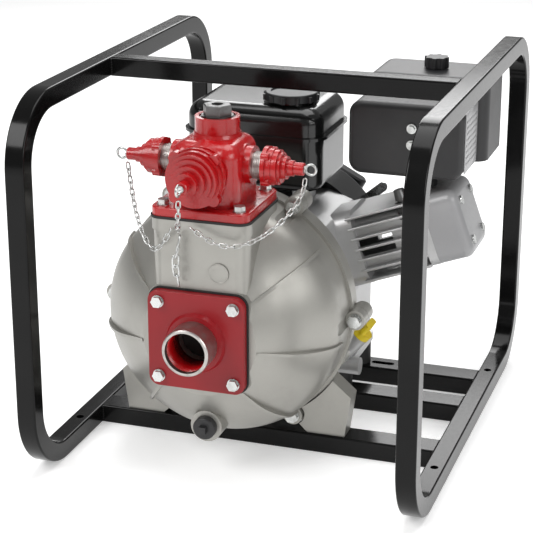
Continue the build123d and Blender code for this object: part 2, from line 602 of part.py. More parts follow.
LEFT_HUB = facing((SHAFT_X, NECK_Y, SIDE_OUTLET_Z), (-1, 0, 0))
RIGHT_HUB = facing((SHAFT_X, NECK_Y, SIDE_OUTLET_Z), (1, 0, 0))
FRONT_HUB = facing((SHAFT_X, NECK_Y, FRONT_OUTLET_Z), (0, -1, 0))
FILL_PLANE = Plane(origin=(SHAFT_X, FILL_PORT_Y, FILL_PORT_Z))
OUTLETS = (
    (LEFT_HUB, SIDE_PIPE_RADIUS, SIDE_PIPE_BORE, SIDE_HUB_REACH),
    (RIGHT_HUB, SIDE_PIPE_RADIUS, SIDE_PIPE_BORE, SIDE_HUB_REACH),
    (FRONT_HUB, FRONT_PIPE_RADIUS, FRONT_PIPE_BORE, FRONT_HUB_REACH),
)

with BuildPart() as discharge_manifold:
    slab(PLATE_LOW, PLATE_SIZE, PLATE_SIZE, PLATE_CORNER, MANIFOLD_PLATE)
    fillet(discharge_manifold.faces().sort_by(Axis.Z)[-1].edges(), 2)
    body_height = MANIFOLD_BODY_TOP_Z - PLATE_HIGH_Z
    with BuildSketch(PLATE_HIGH):
        RectangleRounded(2 * MANIFOLD_HALF_WIDTH, 2 * MANIFOLD_HALF_WIDTH + 4, 20)
    extrude(amount=body_height)
    fillet(discharge_manifold.faces().sort_by(Axis.Z)[-1].edges(), 18)
    for hub, pipe, bore, reach in OUTLETS:
        disc(hub.offset(reach - 18), pipe + 7, 18)
        with BuildSketch(hub.offset(reach - 30)):
            Circle(pipe + 13)
        extrude(amount=20, taper=12)
    disc(FILL_PLANE, FILL_PORT_RADIUS, MANIFOLD_BODY_TOP_Z - FILL_PORT_Z - 14)
    with BuildSketch(FILL_PLANE.offset(MANIFOLD_BODY_TOP_Z - FILL_PORT_Z - 10)):
        Circle(FILL_PORT_RADIUS + 6)
    extrude(amount=14, taper=18)
    disc(MANIFOLD_PLANE, NECK_BORE_RADIUS - 2, SIDE_OUTLET_Z - NECK_TOP_Z + 16, Mode.SUBTRACT)
    disc(FILL_PLANE, FILL_BORE_RADIUS, -30, Mode.SUBTRACT)
    disc(FILL_PLANE.offset(-29), FILL_BORE_RADIUS - 6, -30, Mode.SUBTRACT)
    for hub, pipe, bore, reach in OUTLETS:
        disc(hub, bore, reach, Mode.SUBTRACT)
        disc(hub.offset(reach - PIPE_SOCKET_DEPTH), pipe, PIPE_SOCKET_DEPTH, Mode.SUBTRACT)
    square_holes(PLATE_LOW, PLATE_BOLT_RADIUS + BOLT_CLEARANCE, MANIFOLD_PLATE)
    with BuildSketch(PLATE_HIGH):
        with GridLocations(PLATE_BOLT_SPACING, PLATE_BOLT_SPACING, 2, 2):
            Circle(10)
    extrude(amount=20, mode=Mode.SUBTRACT)

with BuildPart() as manifold_bolts:
    for dx in (-PLATE_BOLT_SPACING / 2, PLATE_BOLT_SPACING / 2):
        for dy in (-PLATE_BOLT_SPACING / 2, PLATE_BOLT_SPACING / 2):
            hex_bolt(Plane(origin=(SHAFT_X + dx, NECK_Y + dy, PLATE_HIGH_Z)),
                     PLATE_BOLT_RADIUS - RUNNING, MANIFOLD_PLATE + GASKET_THICKNESS + 20, 13, 6, 1.5)

CAP_BORE_SHARE = 0.48
CAP_END_GAP = 3.0
CAP_SEATS = (
    (SIDE_PIPE_SHOWING, SIDE_CAP_LENGTH),
    (SIDE_PIPE_SHOWING, SIDE_CAP_LENGTH),
    (FRONT_PIPE_SHOWING, FRONT_CAP_LENGTH),
)
with BuildPart() as discharge_nipples:
    for (hub, pipe, bore, reach), (showing, cap_length) in zip(OUTLETS, CAP_SEATS):
        start = hub.offset(reach - PIPE_SOCKET_DEPTH)
        pipe_length = PIPE_SOCKET_DEPTH + showing + CAP_BORE_SHARE * cap_length - CAP_END_GAP
        disc(start, pipe, pipe_length)
        disc(start, bore, pipe_length, Mode.SUBTRACT)

FILL_PLUG_HEX = 32.0
with BuildPart() as fill_plug:
    disc(FILL_PLANE.offset(-2), FILL_BORE_RADIUS - CLEARANCE, -16)
    disc(FILL_PLANE.offset(-2), FILL_BORE_RADIUS - 3, 3)
    hexagon(FILL_PLANE.offset(1), FILL_PLUG_HEX, 13)
    chamfer(fill_plug.faces().sort_by(Axis.Z)[-1].edges(), 1.2)
    hexagon(FILL_PLANE.offset(14), 14, -8, Mode.SUBTRACT)


CAP_STEPS = (
    (0.00, 0.14, 0.96),
    (0.34, 0.52, 0.84),
    (0.52, 0.62, 0.72),
    (0.62, 0.78, 0.55),
    (0.78, 1.00, 0.38),
)


def build_cap(hub, start, pipe, radius, length):
    """Threaded cap over a pipe: lugged inner rim, stepped dome and a post bored for the chain's hook."""
    rim = hub.offset(start)
    with BuildPart() as cap:
        with BuildSketch(rim):
            Circle(radius - 3)
        extrude(amount=length * 0.34)
        with BuildSketch(rim):
            with PolarLocations(radius - 4, CAP_LUGS, 45):
                Circle(radius * CAP_LUG_SHARE)
        extrude(amount=length * 0.26)
        for start_share, end_share, radius_share in CAP_STEPS:
            disc(rim.offset(length * start_share), radius * radius_share,
                 length * (end_share - start_share))
        disc(rim.offset(length), CAP_POST_RADIUS, CAP_POST_LENGTH)
        chamfer(cap.faces().sort_by(Axis(hub.origin, hub.z_dir))[-1].edges(), 1.0)
        disc(rim, pipe + CLEARANCE, length * CAP_BORE_SHARE, Mode.SUBTRACT)
        disc(rim.offset(length + CAP_POST_LENGTH), HOOK_PIN_RADIUS + RUNNING, -10, Mode.SUBTRACT)
    return cap


def build_hook(hub, start):
    """Swivel pin in a cap's post with the ring that takes the chain."""
    face = hub.offset(start)
    with BuildPart() as hook:
        disc(face.offset(CLEARANCE), HOOK_PIN_RADIUS, -9)
        disc(face.offset(CLEARANCE), HOOK_PIN_RADIUS + 1.5, 2)
        centre = face.offset(CLEARANCE + 1.2 + HOOK_RING_RADIUS)
        side = Plane(origin=centre.origin, x_dir=hub.z_dir, z_dir=hub.x_dir)
        torus_ring(side, HOOK_RING_RADIUS, HOOK_WIRE_RADIUS)
    return hook


SIDE_CAP_START = SIDE_HUB_REACH + SIDE_PIPE_SHOWING
FRONT_CAP_START = FRONT_HUB_REACH + FRONT_PIPE_SHOWING
SIDE_CAP_END = SIDE_CAP_START + SIDE_CAP_LENGTH + CAP_POST_LENGTH
FRONT_CAP_END = FRONT_CAP_START + FRONT_CAP_LENGTH + CAP_POST_LENGTH

left_cap = build_cap(LEFT_HUB, SIDE_CAP_START, SIDE_PIPE_RADIUS, SIDE_CAP_RADIUS, SIDE_CAP_LENGTH)
right_cap = build_cap(RIGHT_HUB, SIDE_CAP_START, SIDE_PIPE_RADIUS, SIDE_CAP_RADIUS, SIDE_CAP_LENGTH)
front_cap = build_cap(FRONT_HUB, FRONT_CAP_START, FRONT_PIPE_RADIUS, FRONT_CAP_RADIUS,
                      FRONT_CAP_LENGTH)
left_cap_hook = build_hook(LEFT_HUB, SIDE_CAP_END)
right_cap_hook = build_hook(RIGHT_HUB, SIDE_CAP_END)
front_cap_hook = build_hook(FRONT_HUB, FRONT_CAP_END)

# ================================================================ chains
LEFT_CHAIN_ROUTE = ((-158, -184, 395.5), (-151, -193, 372), (-140, -210, 352), (-127, -228, 334),
                    (-111, -247, 318), (-94, -259, 308), (-83, -262, 316), (-75, -261, 329),
                    (-70, -258, 340))
RIGHT_CHAIN_ROUTE = ((76, -184, 395.5), (77, -191, 383), (74, -203, 371), (67, -222, 358),
                     (52, -243, 343), (33, -258, 331), (10, -264, 324), (-12, -264, 326),
                     (-32, -262, 335), (-48, -258, 343))
FRONT_CHAIN_ROUTE = ((-41, -309, 391.5), (-43, -305, 374), (-49, -293, 355), (-54, -279, 343),
                     (-59, -268, 341), (-61, -261, 346))
TAIL_CHAIN_ROUTE = ((-60, -257, 332), (-61, -261, 318), (-65, -262, 300), (-64, -262, 281),
                    (-62, -257, 264))


def cord_tube(route, diameter):
    """Plain tube along a route: straight runs joined by tangent arcs as large as the runs allow."""
    points = [Vector(*point) for point in route]
    runs = [after - before for before, after in zip(points, points[1:])]
    radii = []
    for before, after in zip(runs, runs[1:]):
        half_turn = math.radians(before.get_angle(after)) / 2
        radii.append(0.45 * min(before.length, after.length) / math.tan(half_turn))
    with BuildPart() as tube:
        with BuildLine() as path:
            FilletPolyline(*points, radius=radii)
        with BuildSketch(Plane(origin=path.line @ 0, z_dir=path.line % 0)):
            Circle(diameter / 2)
        sweep(path=path.line)
    return tube


left_chain = cord_tube(LEFT_CHAIN_ROUTE, CHAIN_WIDTH)
right_chain = cord_tube(RIGHT_CHAIN_ROUTE, CHAIN_WIDTH)
front_chain = cord_tube(FRONT_CHAIN_ROUTE, CHAIN_WIDTH)
tail_chain = cord_tube(TAIL_CHAIN_ROUTE, TAIL_CHAIN_WIDTH)

# ================================================================ engine block
COVER_FACE_Y = ENGINE_FACE_Y
CRANKCASE_FRONT_Y = COVER_FACE_Y + CRANKCASE_WALL
TILT = math.radians(CYLINDER_TILT)
CYLINDER_PLANE = Plane(origin=(SHAFT_X, CYLINDER_Y, SHAFT_Z), x_dir=(0, 1, 0),
                       z_dir=(math.cos(TILT), 0, math.sin(TILT)))
CRANKCASE_OUTLINE = ((-94, ENGINE_BASE_Z - SHAFT_Z), (108, ENGINE_BASE_Z - SHAFT_Z), (122, -96),
                     (122, -20), (96, 84), (60, 97), (-62, 97), (-100, 66), (-114, 0), (-108, -96))
FILLER_DIRECTION = (0.66, 0, 0.75)
FILLER_BASE = (72, -10, 96)
FILLER_LENGTH = 44.0
FILLER_RADIUS = 14.0


def cooling_fins(start, end):
    """Fins lying along the cylinder, stacked across it, between two distances from the shaft."""
    for step in range(FIN_COUNT):
        across = (step - (FIN_COUNT - 1) / 2) * FIN_PITCH
        with BuildSketch(CYLINDER_PLANE.offset(start)) as fin:
            with Locations((0, across)):
                RectangleRounded(2 * CYLINDER_HALF, FIN_THICKNESS, FIN_THICKNESS / 2.2)
        extrude(fin.sketch, amount=end - start)


def crankcase_outline():
    """Outline of the crankcase seen from the front."""
    with BuildLine() as profile:
        Polyline(*CRANKCASE_OUTLINE, close=True)
    make_face(profile.line.edges())


with BuildPart() as crankcase:
    with BuildSketch(across_shaft(CRANKCASE_BACK_Y)) as outline:
        crankcase_outline()
        fillet(outline.vertices(), 8)
    extrude(amount=CRANKCASE_BACK_Y - CRANKCASE_FRONT_Y)
    foot_depth = REAR_RAIL_Y - MIDDLE_RAIL_Y + RAIL_WIDTH
    foot_plane = Plane(origin=(SHAFT_X, (REAR_RAIL_Y + MIDDLE_RAIL_Y) / 2, ENGINE_BASE_Z))
    slab(foot_plane, 2 * ENGINE_BOLT_X + 40, foot_depth, 12, ENGINE_FOOT)
    with BuildSketch(CYLINDER_PLANE):
        RectangleRounded(2 * CYLINDER_HALF - 2 * FIN_DEPTH, 2 * CYLINDER_HALF - 2 * FIN_DEPTH, 14)
    extrude(amount=CYLINDER_END)
    slab(CYLINDER_PLANE, 2 * CYLINDER_HALF - 4, 2 * CYLINDER_HALF + 6, 24, FIN_START)
    cooling_fins(FIN_START - 6, CYLINDER_END)
    disc(facing(FILLER_BASE, FILLER_DIRECTION), FILLER_RADIUS, FILLER_LENGTH)
    disc(facing(FILLER_BASE, FILLER_DIRECTION).offset(-20), FILLER_RADIUS, 24)
    for x in (SHAFT_X - 70, SHAFT_X + 40):
        with BuildSketch(Plane(origin=(x, 60, SHAFT_Z + 90))):
            RectangleRounded(18, 60, 5)
        extrude(amount=TANK_BOTTOM_Z - SHAFT_Z - 90)
    disc(across_shaft(CRANKCASE_BACK_Y - CRANKCASE_WALL), CRANK_ROOM_RADIUS,
         CRANKCASE_BACK_Y - CRANKCASE_WALL - CRANKCASE_FRONT_Y, Mode.SUBTRACT)
    disc(CYLINDER_PLANE, CYLINDER_BORE - 4, CYLINDER_END, Mode.SUBTRACT)
    disc(across_shaft(CRANKCASE_BACK_Y), SHAFT_RADIUS + RUNNING, CRANKCASE_WALL, Mode.SUBTRACT)
    disc(facing(FILLER_BASE, FILLER_DIRECTION).offset(FILLER_LENGTH - 16), FILLER_RADIUS - 4, 16,
         Mode.SUBTRACT)
    with BuildSketch(foot_plane):
        with GridLocations(2 * ENGINE_BOLT_X, REAR_RAIL_Y - MIDDLE_RAIL_Y, 2, 2):
            Circle(ENGINE_BOLT_RADIUS + BOLT_CLEARANCE)
    extrude(amount=ENGINE_FOOT, mode=Mode.SUBTRACT)
    with BuildSketch(foot_plane.offset(ENGINE_FOOT)):
        with GridLocations(2 * ENGINE_BOLT_X, REAR_RAIL_Y - MIDDLE_RAIL_Y, 2, 2):
            Circle(NUT_FLATS * 0.75)
    extrude(amount=26, mode=Mode.SUBTRACT)
    disc(facing((105, -4, 80), (1, 0, 0)).offset(-40), 12, 36)

with BuildPart() as crankcase_cover:
    with BuildSketch(across_shaft(CRANKCASE_FRONT_Y)) as outline:
        crankcase_outline()
        fillet(outline.vertices(), 8)
    extrude(amount=CRANKCASE_WALL)
    disc(across_shaft(CRANKCASE_FRONT_Y), SHAFT_RADIUS + RUNNING, CRANKCASE_WALL, Mode.SUBTRACT)
    with BuildSketch(across_shaft(CRANKCASE_FRONT_Y)):
        with PolarLocations(PTO_BOLT_CIRCLE, 4, 45):
            Circle(CASING_BOLT_RADIUS - RUNNING)
    extrude(amount=CRANKCASE_WALL, mode=Mode.SUBTRACT)

PLUG_TILT_S = 216.0
with BuildPart() as cylinder_head:
    with BuildSketch(CYLINDER_PLANE.offset(CYLINDER_END)):
        RectangleRounded(2 * CYLINDER_HALF - 2 * FIN_DEPTH, 2 * CYLINDER_HALF - 2 * FIN_DEPTH, 14)
    extrude(amount=HEAD_END - CYLINDER_END)
    cooling_fins(CYLINDER_END, HEAD_END - 12)
    slab(CYLINDER_PLANE.offset(HEAD_END - 12), 2 * CYLINDER_HALF - 4, 2 * CYLINDER_HALF - 4, 14, 12)
    slab(CYLINDER_PLANE.offset(HEAD_END - 6), 62, 62, 10, 6, Mode.SUBTRACT)
    head_top = facing((SHAFT_X + PLUG_TILT_S * math.cos(TILT), 28, SHAFT_Z + PLUG_TILT_S * math.sin(TILT)),
                      (-math.sin(TILT), 0, math.cos(TILT)))
    disc(head_top.offset(CYLINDER_HALF - FIN_DEPTH - 14), 10.5, FIN_DEPTH + 20, Mode.SUBTRACT)

with BuildPart() as valve_cover:
    slab(CYLINDER_PLANE.offset(HEAD_END), 2 * CYLINDER_HALF - 4, 2 * CYLINDER_HALF - 4, 16,
         VALVE_COVER_END - HEAD_END)
    fillet(valve_cover.faces().sort_by(Axis(CYLINDER_PLANE.origin, CYLINDER_PLANE.z_dir))[-1].edges(), 12)
    slab(CYLINDER_PLANE.offset(HEAD_END), 2 * CYLINDER_HALF - 14, 2 * CYLINDER_HALF - 14, 11,
         VALVE_COVER_END - HEAD_END - 5, Mode.SUBTRACT)

with BuildPart() as spark_plug:
    seat = head_top.offset(CYLINDER_HALF - FIN_DEPTH - 14)
    disc(seat, 7, 8)
    hexagon(seat.offset(6), 17, 9)
    disc(seat.offset(15), 6, 14)
    with BuildSketch(seat.offset(26)):
        Circle(8.5)
    extrude(amount=14, taper=6)

# ================================================================ exhaust
GUARD_CENTRE_X = (GUARD_LOW_X + GUARD_HIGH_X) / 2
GUARD_WIDTH = GUARD_HIGH_X - GUARD_LOW_X
GUARD_HEIGHT = GUARD_HIGH_Z - GUARD_LOW_Z
GUARD_CENTRE_Z = (GUARD_LOW_Z + GUARD_HIGH_Z) / 2
GUARD_CORNER = 18.0
EXHAUST_X = 172.0
EXHAUST_Y = 62.0
EXHAUST_RADIUS = 13.0
with BuildPart() as muffler_guard:
    guard_plane = across_shaft(GUARD_DEPTH, GUARD_CENTRE_X, GUARD_CENTRE_Z)
    slab(guard_plane, GUARD_WIDTH, GUARD_HEIGHT, GUARD_CORNER, GUARD_DEPTH)
    fillet(muffler_guard.faces().sort_by(Axis.Y)[0].edges(), 8)
    slab(guard_plane, GUARD_WIDTH - 2 * GUARD_SHEET, GUARD_HEIGHT - 2 * GUARD_SHEET,
         GUARD_CORNER - GUARD_SHEET, GUARD_DEPTH - GUARD_SHEET, Mode.SUBTRACT)
    with BuildSketch(Plane(origin=(GUARD_HIGH_X, GUARD_DEPTH / 2, GUARD_CENTRE_Z), x_dir=(0, 1, 0),
                           z_dir=(1, 0, 0))):
        with GridLocations(11, 11, 6, 6):
            Circle(3.4)
    extrude(amount=-2 * GUARD_SHEET, mode=Mode.SUBTRACT)
    with BuildSketch(across_shaft(0, GUARD_CENTRE_X, GUARD_CENTRE_Z)):
        with Locations((9, 18), (9, -4)):
            Circle(3.2)
    extrude(amount=-2 * GUARD_SHEET, mode=Mode.SUBTRACT)
    disc(Plane(origin=(EXHAUST_X, EXHAUST_Y, GUARD_LOW_Z)), EXHAUST_RADIUS + 3, 2 * GUARD_SHEET,
         Mode.SUBTRACT)

MUFFLER_GAP = 14.0
with BuildPart() as muffler:
    muffler_plane = across_shaft(GUARD_DEPTH - 6, GUARD_CENTRE_X, GUARD_CENTRE_Z)
    slab(muffler_plane, GUARD_WIDTH - 2 * MUFFLER_GAP, GUARD_HEIGHT - 2 * MUFFLER_GAP, 22,
         GUARD_DEPTH - 6 - MUFFLER_GAP)
    fillet(muffler.faces().sort_by(Axis.Y)[0].edges(), 10)
    for z in (18, -4):
        disc(across_shaft(MUFFLER_GAP + 2, GUARD_CENTRE_X + 9, GUARD_CENTRE_Z + z), 8,
             MUFFLER_GAP + 2 - GUARD_SHEET)
        disc(across_shaft(MUFFLER_GAP + 2, GUARD_CENTRE_X + 9, GUARD_CENTRE_Z + z), 3,
             MUFFLER_GAP + 2 - GUARD_SHEET, Mode.SUBTRACT)
    exhaust_top = GUARD_LOW_Z + MUFFLER_GAP
    exhaust_plane = Plane(origin=(EXHAUST_X, EXHAUST_Y, exhaust_top + 4))
    disc(exhaust_plane, EXHAUST_RADIUS, -44)
    disc(exhaust_plane, EXHAUST_RADIUS - 3.5, -44, Mode.SUBTRACT)
    with BuildSketch(CYLINDER_PLANE.offset(HEAD_END / 2)):
        Rectangle(2 * CYLINDER_HALF, 2 * CYLINDER_HALF)
    extrude(amount=HEAD_END, mode=Mode.SUBTRACT)

# ================================================================ fuel system
TANK_PLANE = Plane(origin=(TANK_CENTRE_X, TANK_CENTRE_Y, TANK_BOTTOM_Z))
FUEL_NECK_X = TANK_CENTRE_X + 42
FUEL_NECK_Y = TANK_CENTRE_Y - 22
with BuildPart() as fuel_tank:
    slab(TANK_PLANE, TANK_LENGTH, TANK_DEPTH, TANK_CORNER, TANK_TOP_Z - TANK_BOTTOM_Z)
    fillet(fuel_tank.faces().sort_by(Axis.Z)[-1].edges(), 22)
    fillet(fuel_tank.faces().sort_by(Axis.Z)[0].edges(), 12)
    slab(TANK_PLANE.offset(TANK_SEAM_Z - TANK_BOTTOM_Z), TANK_LENGTH + 10, TANK_DEPTH + 8,
         TANK_CORNER + 4, 4)
    slab(TANK_PLANE.offset(TANK_WALL), TANK_LENGTH - 2 * TANK_WALL, TANK_DEPTH - 2 * TANK_WALL,
         TANK_CORNER - TANK_WALL, TANK_TOP_Z - TANK_BOTTOM_Z - 26, Mode.SUBTRACT)
    slab(TANK_PLANE.offset(TANK_WALL), TANK_LENGTH - 2 * 22, TANK_DEPTH - 2 * 22, 12,
         TANK_TOP_Z - TANK_BOTTOM_Z - 2 * TANK_WALL, Mode.SUBTRACT)
    neck = Plane(origin=(FUEL_NECK_X, FUEL_NECK_Y, TANK_TOP_Z - 4))
    disc(neck, FUEL_NECK_RADIUS, 10)
    disc(neck.offset(-10), FUEL_NECK_RADIUS - 4, 40, Mode.SUBTRACT)

with BuildPart() as fuel_cap:
    neck = Plane(origin=(FUEL_NECK_X, FUEL_NECK_Y, TANK_TOP_Z + CLEARANCE))
    disc(neck.offset(3), FUEL_CAP_RADIUS, 11)
    fillet(fuel_cap.faces().sort_by(Axis.Z)[-1].edges(), 2)
    with BuildSketch(neck.offset(3)):
        with PolarLocations(FUEL_CAP_RADIUS, 12):
            Circle(3.2)
    extrude(amount=8)
    disc(neck.offset(14), FUEL_CAP_RADIUS - 8, -2, Mode.SUBTRACT)
    disc(neck.offset(3), FUEL_NECK_RADIUS + 1, 4, Mode.SUBTRACT)
    disc(neck.offset(7), FUEL_NECK_RADIUS - 5, -10)

FILTER_PLANE = Plane(origin=(FILTER_X, FILTER_Y, FILTER_LOW_Z))
KNOB_Z = FILTER_HIGH_Z + 1.0
with BuildPart() as air_cleaner_base:
    slab(FILTER_PLANE, FILTER_WIDTH, FILTER_DEPTH, 18, FILTER_BASE)
    disc(FILTER_PLANE.offset(FILTER_BASE), 5, FILTER_HIGH_Z - FILTER_LOW_Z - FILTER_BASE + 12)
    disc(Plane(origin=(FILTER_X, FILTER_Y - 14, FILTER_LOW_Z)), 16, FILTER_BASE, Mode.SUBTRACT)
    disc(FILTER_PLANE, 5, FILTER_BASE)

with BuildPart() as air_cleaner_cover:
    rim = FILTER_PLANE.offset(FILTER_BASE)
    slab(rim, FILTER_WIDTH, FILTER_DEPTH, 18, FILTER_HIGH_Z - FILTER_LOW_Z - FILTER_BASE)
    fillet(air_cleaner_cover.faces().sort_by(Axis.Z)[-1].edges(), 14)
    slab(rim, FILTER_WIDTH - 6, FILTER_DEPTH - 6, 15, FILTER_HIGH_Z - FILTER_LOW_Z - FILTER_BASE - 14,
         Mode.SUBTRACT)
    disc(FILTER_PLANE, 5 + CLEARANCE, FILTER_HIGH_Z, Mode.SUBTRACT)

with BuildPart() as air_cleaner_knob:
    knob = Plane(origin=(FILTER_X, FILTER_Y, KNOB_Z))
    disc(knob, 14, 15)
    with BuildSketch(knob):
        with PolarLocations(14, 8):
            Circle(3)
    extrude(amount=15)
    disc(knob, 5 + RUNNING, 11.5, Mode.SUBTRACT)

CARB_Z = 328.0
CARB_RADIUS = 19.0
HEAD_SIDE_Y = CYLINDER_Y + CYLINDER_HALF
with BuildPart() as carburettor:
    disc(Plane(origin=(FILTER_X, FILTER_Y - 14, FILTER_LOW_Z)), 15, -24)
    disc(across_shaft(FILTER_Y + 8, FILTER_X, CARB_Z), CARB_RADIUS, FILTER_Y + 8 - HEAD_SIDE_Y - 8)
    slab(across_shaft(HEAD_SIDE_Y + 8, FILTER_X - 2, CARB_Z - 26), 52, 66, 8, 8)
    disc(Plane(origin=(FILTER_X, FILTER_Y - 14, CARB_Z)), 16, -50)
    disc(Plane(origin=(FILTER_X, FILTER_Y - 14, FILTER_LOW_Z)), 11, -20, Mode.SUBTRACT)
    disc(across_shaft(FILTER_Y + 8, FILTER_X, CARB_Z), 3, 8, Mode.SUBTRACT)

with BuildPart() as choke_lever:
    lever = across_shaft(FILTER_Y + 11, FILTER_X, CARB_Z)
    disc(lever, 3 - RUNNING, 9)
    disc(lever, 7, 2.6)
    with BuildSketch(lever):
        with Locations((18, 0)):
            SlotOverall(46, 10)
    extrude(amount=2.6)

with BuildPart() as fuel_valve_lever:
    lever = facing((FILTER_X + 16 + CLEARANCE, FILTER_Y - 14, CARB_Z - 38), (1, 0, 0))
    disc(lever, 8, 5)
    with BuildSketch(lever):
        with Locations((0, -14)):
            SlotOverall(40, 9, rotation=90)
    extrude(amount=5)

# ================================================================ fan housing, starter and controls
FAN_FRONT_Y = CRANKCASE_BACK_Y
FAN_BACK_Y = FAN_FRONT_Y + FAN_DEPTH
GRIP_ANGLE = 62.0
SWITCH_Z = SHAFT_Z
with BuildPart() as fan_housing:
    disc(across_shaft(FAN_FRONT_Y), FAN_RADIUS, -FAN_DEPTH)
    fillet(fan_housing.faces().sort_by(Axis.Y)[-1].edges(), 14)
    disc(across_shaft(FAN_FRONT_Y + FAN_SHELL), FAN_RADIUS - FAN_SHELL - 2, -FAN_DEPTH + 2 * FAN_SHELL + 4,
         Mode.SUBTRACT)
    disc(across_shaft(FAN_FRONT_Y), SHAFT_RADIUS + 3, -FAN_SHELL, Mode.SUBTRACT)
    disc(across_shaft(FAN_BACK_Y), RECOIL_RADIUS - 12, FAN_SHELL + 6, Mode.SUBTRACT)
    disc(facing((SHAFT_X - FAN_RADIUS + 4, FAN_FRONT_Y + 40, SWITCH_Z), (-1, 0, 0)), 17, 6)
    disc(facing((SHAFT_X - FAN_RADIUS + 4, FAN_FRONT_Y + 40, SWITCH_Z), (-1, 0, 0)).offset(6), 3, 4)
    disc(across_shaft(FAN_BACK_Y - 4, SHAFT_X + 84, SHAFT_Z + 56), 7, -7)
    disc(across_shaft(FAN_BACK_Y, SHAFT_X + 84, SHAFT_Z + 56), 3, -7)

with BuildPart() as throttle_lever:
    lever = across_shaft(FAN_BACK_Y + 3 + CLEARANCE, SHAFT_X + 84, SHAFT_Z + 56)
    with BuildSketch(lever):
        with Locations((14, 12)):
            SlotOverall(56, 14, rotation=40)
    extrude(amount=-3)
    disc(lever, 3 + RUNNING, -3, Mode.SUBTRACT)

with BuildPart() as recoil_cover:
    disc(across_shaft(FAN_BACK_Y), RECOIL_RADIUS, -RECOIL_DEPTH)
    fillet(recoil_cover.faces().sort_by(Axis.Y)[-1].edges(), 12)
    disc(across_shaft(FAN_BACK_Y), RECOIL_RADIUS - 4, -RECOIL_DEPTH + 4, Mode.SUBTRACT)
    with BuildSketch(across_shaft(FAN_BACK_Y + RECOIL_DEPTH)):
        with PolarLocations(52, 12):
            SlotOverall(30, 7)
    extrude(amount=10, mode=Mode.SUBTRACT)
    grip_dx, grip_dz = around_shaft(GRIP_ANGLE, RECOIL_RADIUS - 3)
    spout = facing((SHAFT_X + grip_dx, FAN_BACK_Y + 17, SHAFT_Z + grip_dz), (grip_dx, 0, grip_dz))
    disc(spout, 11, 9)
    disc(spout.offset(-3), 4, 14, Mode.SUBTRACT)

GRIP_PLANE = spout.offset(9 + CLEARANCE)
with BuildPart() as starter_grip:
    disc(GRIP_PLANE, 6, 8)
    with BuildSketch(GRIP_PLANE.offset(7)):
        SlotOverall(74, 20, rotation=90)
    extrude(amount=18)
    grip_ends = starter_grip.faces().sort_by(Axis(GRIP_PLANE.origin, GRIP_PLANE.z_dir))
    chamfer(grip_ends[-1].edges(), 2.5)

SWITCH_PLANE = facing((SHAFT_X - FAN_RADIUS + 4, FAN_FRONT_Y + 40, SWITCH_Z), (-1, 0, 0)).offset(6)
with BuildPart() as engine_switch:
    disc(SWITCH_PLANE.offset(CLEARANCE), 13, 6)
    with BuildSketch(SWITCH_PLANE.offset(6)):
        SlotOverall(24, 8, rotation=90)
    extrude(amount=9)
    disc(SWITCH_PLANE, 3 + RUNNING, 4 + CLEARANCE, Mode.SUBTRACT)

with BuildPart() as oil_filler_cap:
    mouth = facing(FILLER_BASE, FILLER_DIRECTION).offset(FILLER_LENGTH + CLEARANCE)
    disc(mouth, FILLER_RADIUS, 9)
    disc(mouth, FILLER_RADIUS - 4 - CLEARANCE, -12)
    with BuildSketch(mouth.offset(9)):
        SlotOverall(32, 9)
    extrude(amount=15)

with BuildPart() as engine_screws:
    for z in (18, -4):
        head = across_shaft(0, GUARD_CENTRE_X + 9, GUARD_CENTRE_Z + z)
        disc(head, 6.5, 3)
        hexagon(head.offset(3), 8, 3)
        disc(head, 3 - RUNNING, -MUFFLER_GAP)
    bell_face = across_shaft(ENGINE_FACE_Y - BELL_FLANGE)
    for angle in (45, 135, 225, 315):
        dx, dz = around_shaft(angle, PTO_BOLT_CIRCLE)
        place = across_shaft(ENGINE_FACE_Y - BELL_FLANGE, SHAFT_X + dx, SHAFT_Z + dz)
        hexagon(place, 15, 6)
        disc(place, CASING_BOLT_RADIUS - 2 * RUNNING, -BELL_FLANGE - CRANKCASE_WALL + 1)
    for turn in (-1, 1):
        for side in (-1, 1):
            corner = CYLINDER_PLANE.offset(VALVE_COVER_END)
            place = corner.from_local_coords(Vector(turn * 28, side * 28, 0))
            disc(Plane(origin=place, z_dir=CYLINDER_PLANE.z_dir), 6, 3)

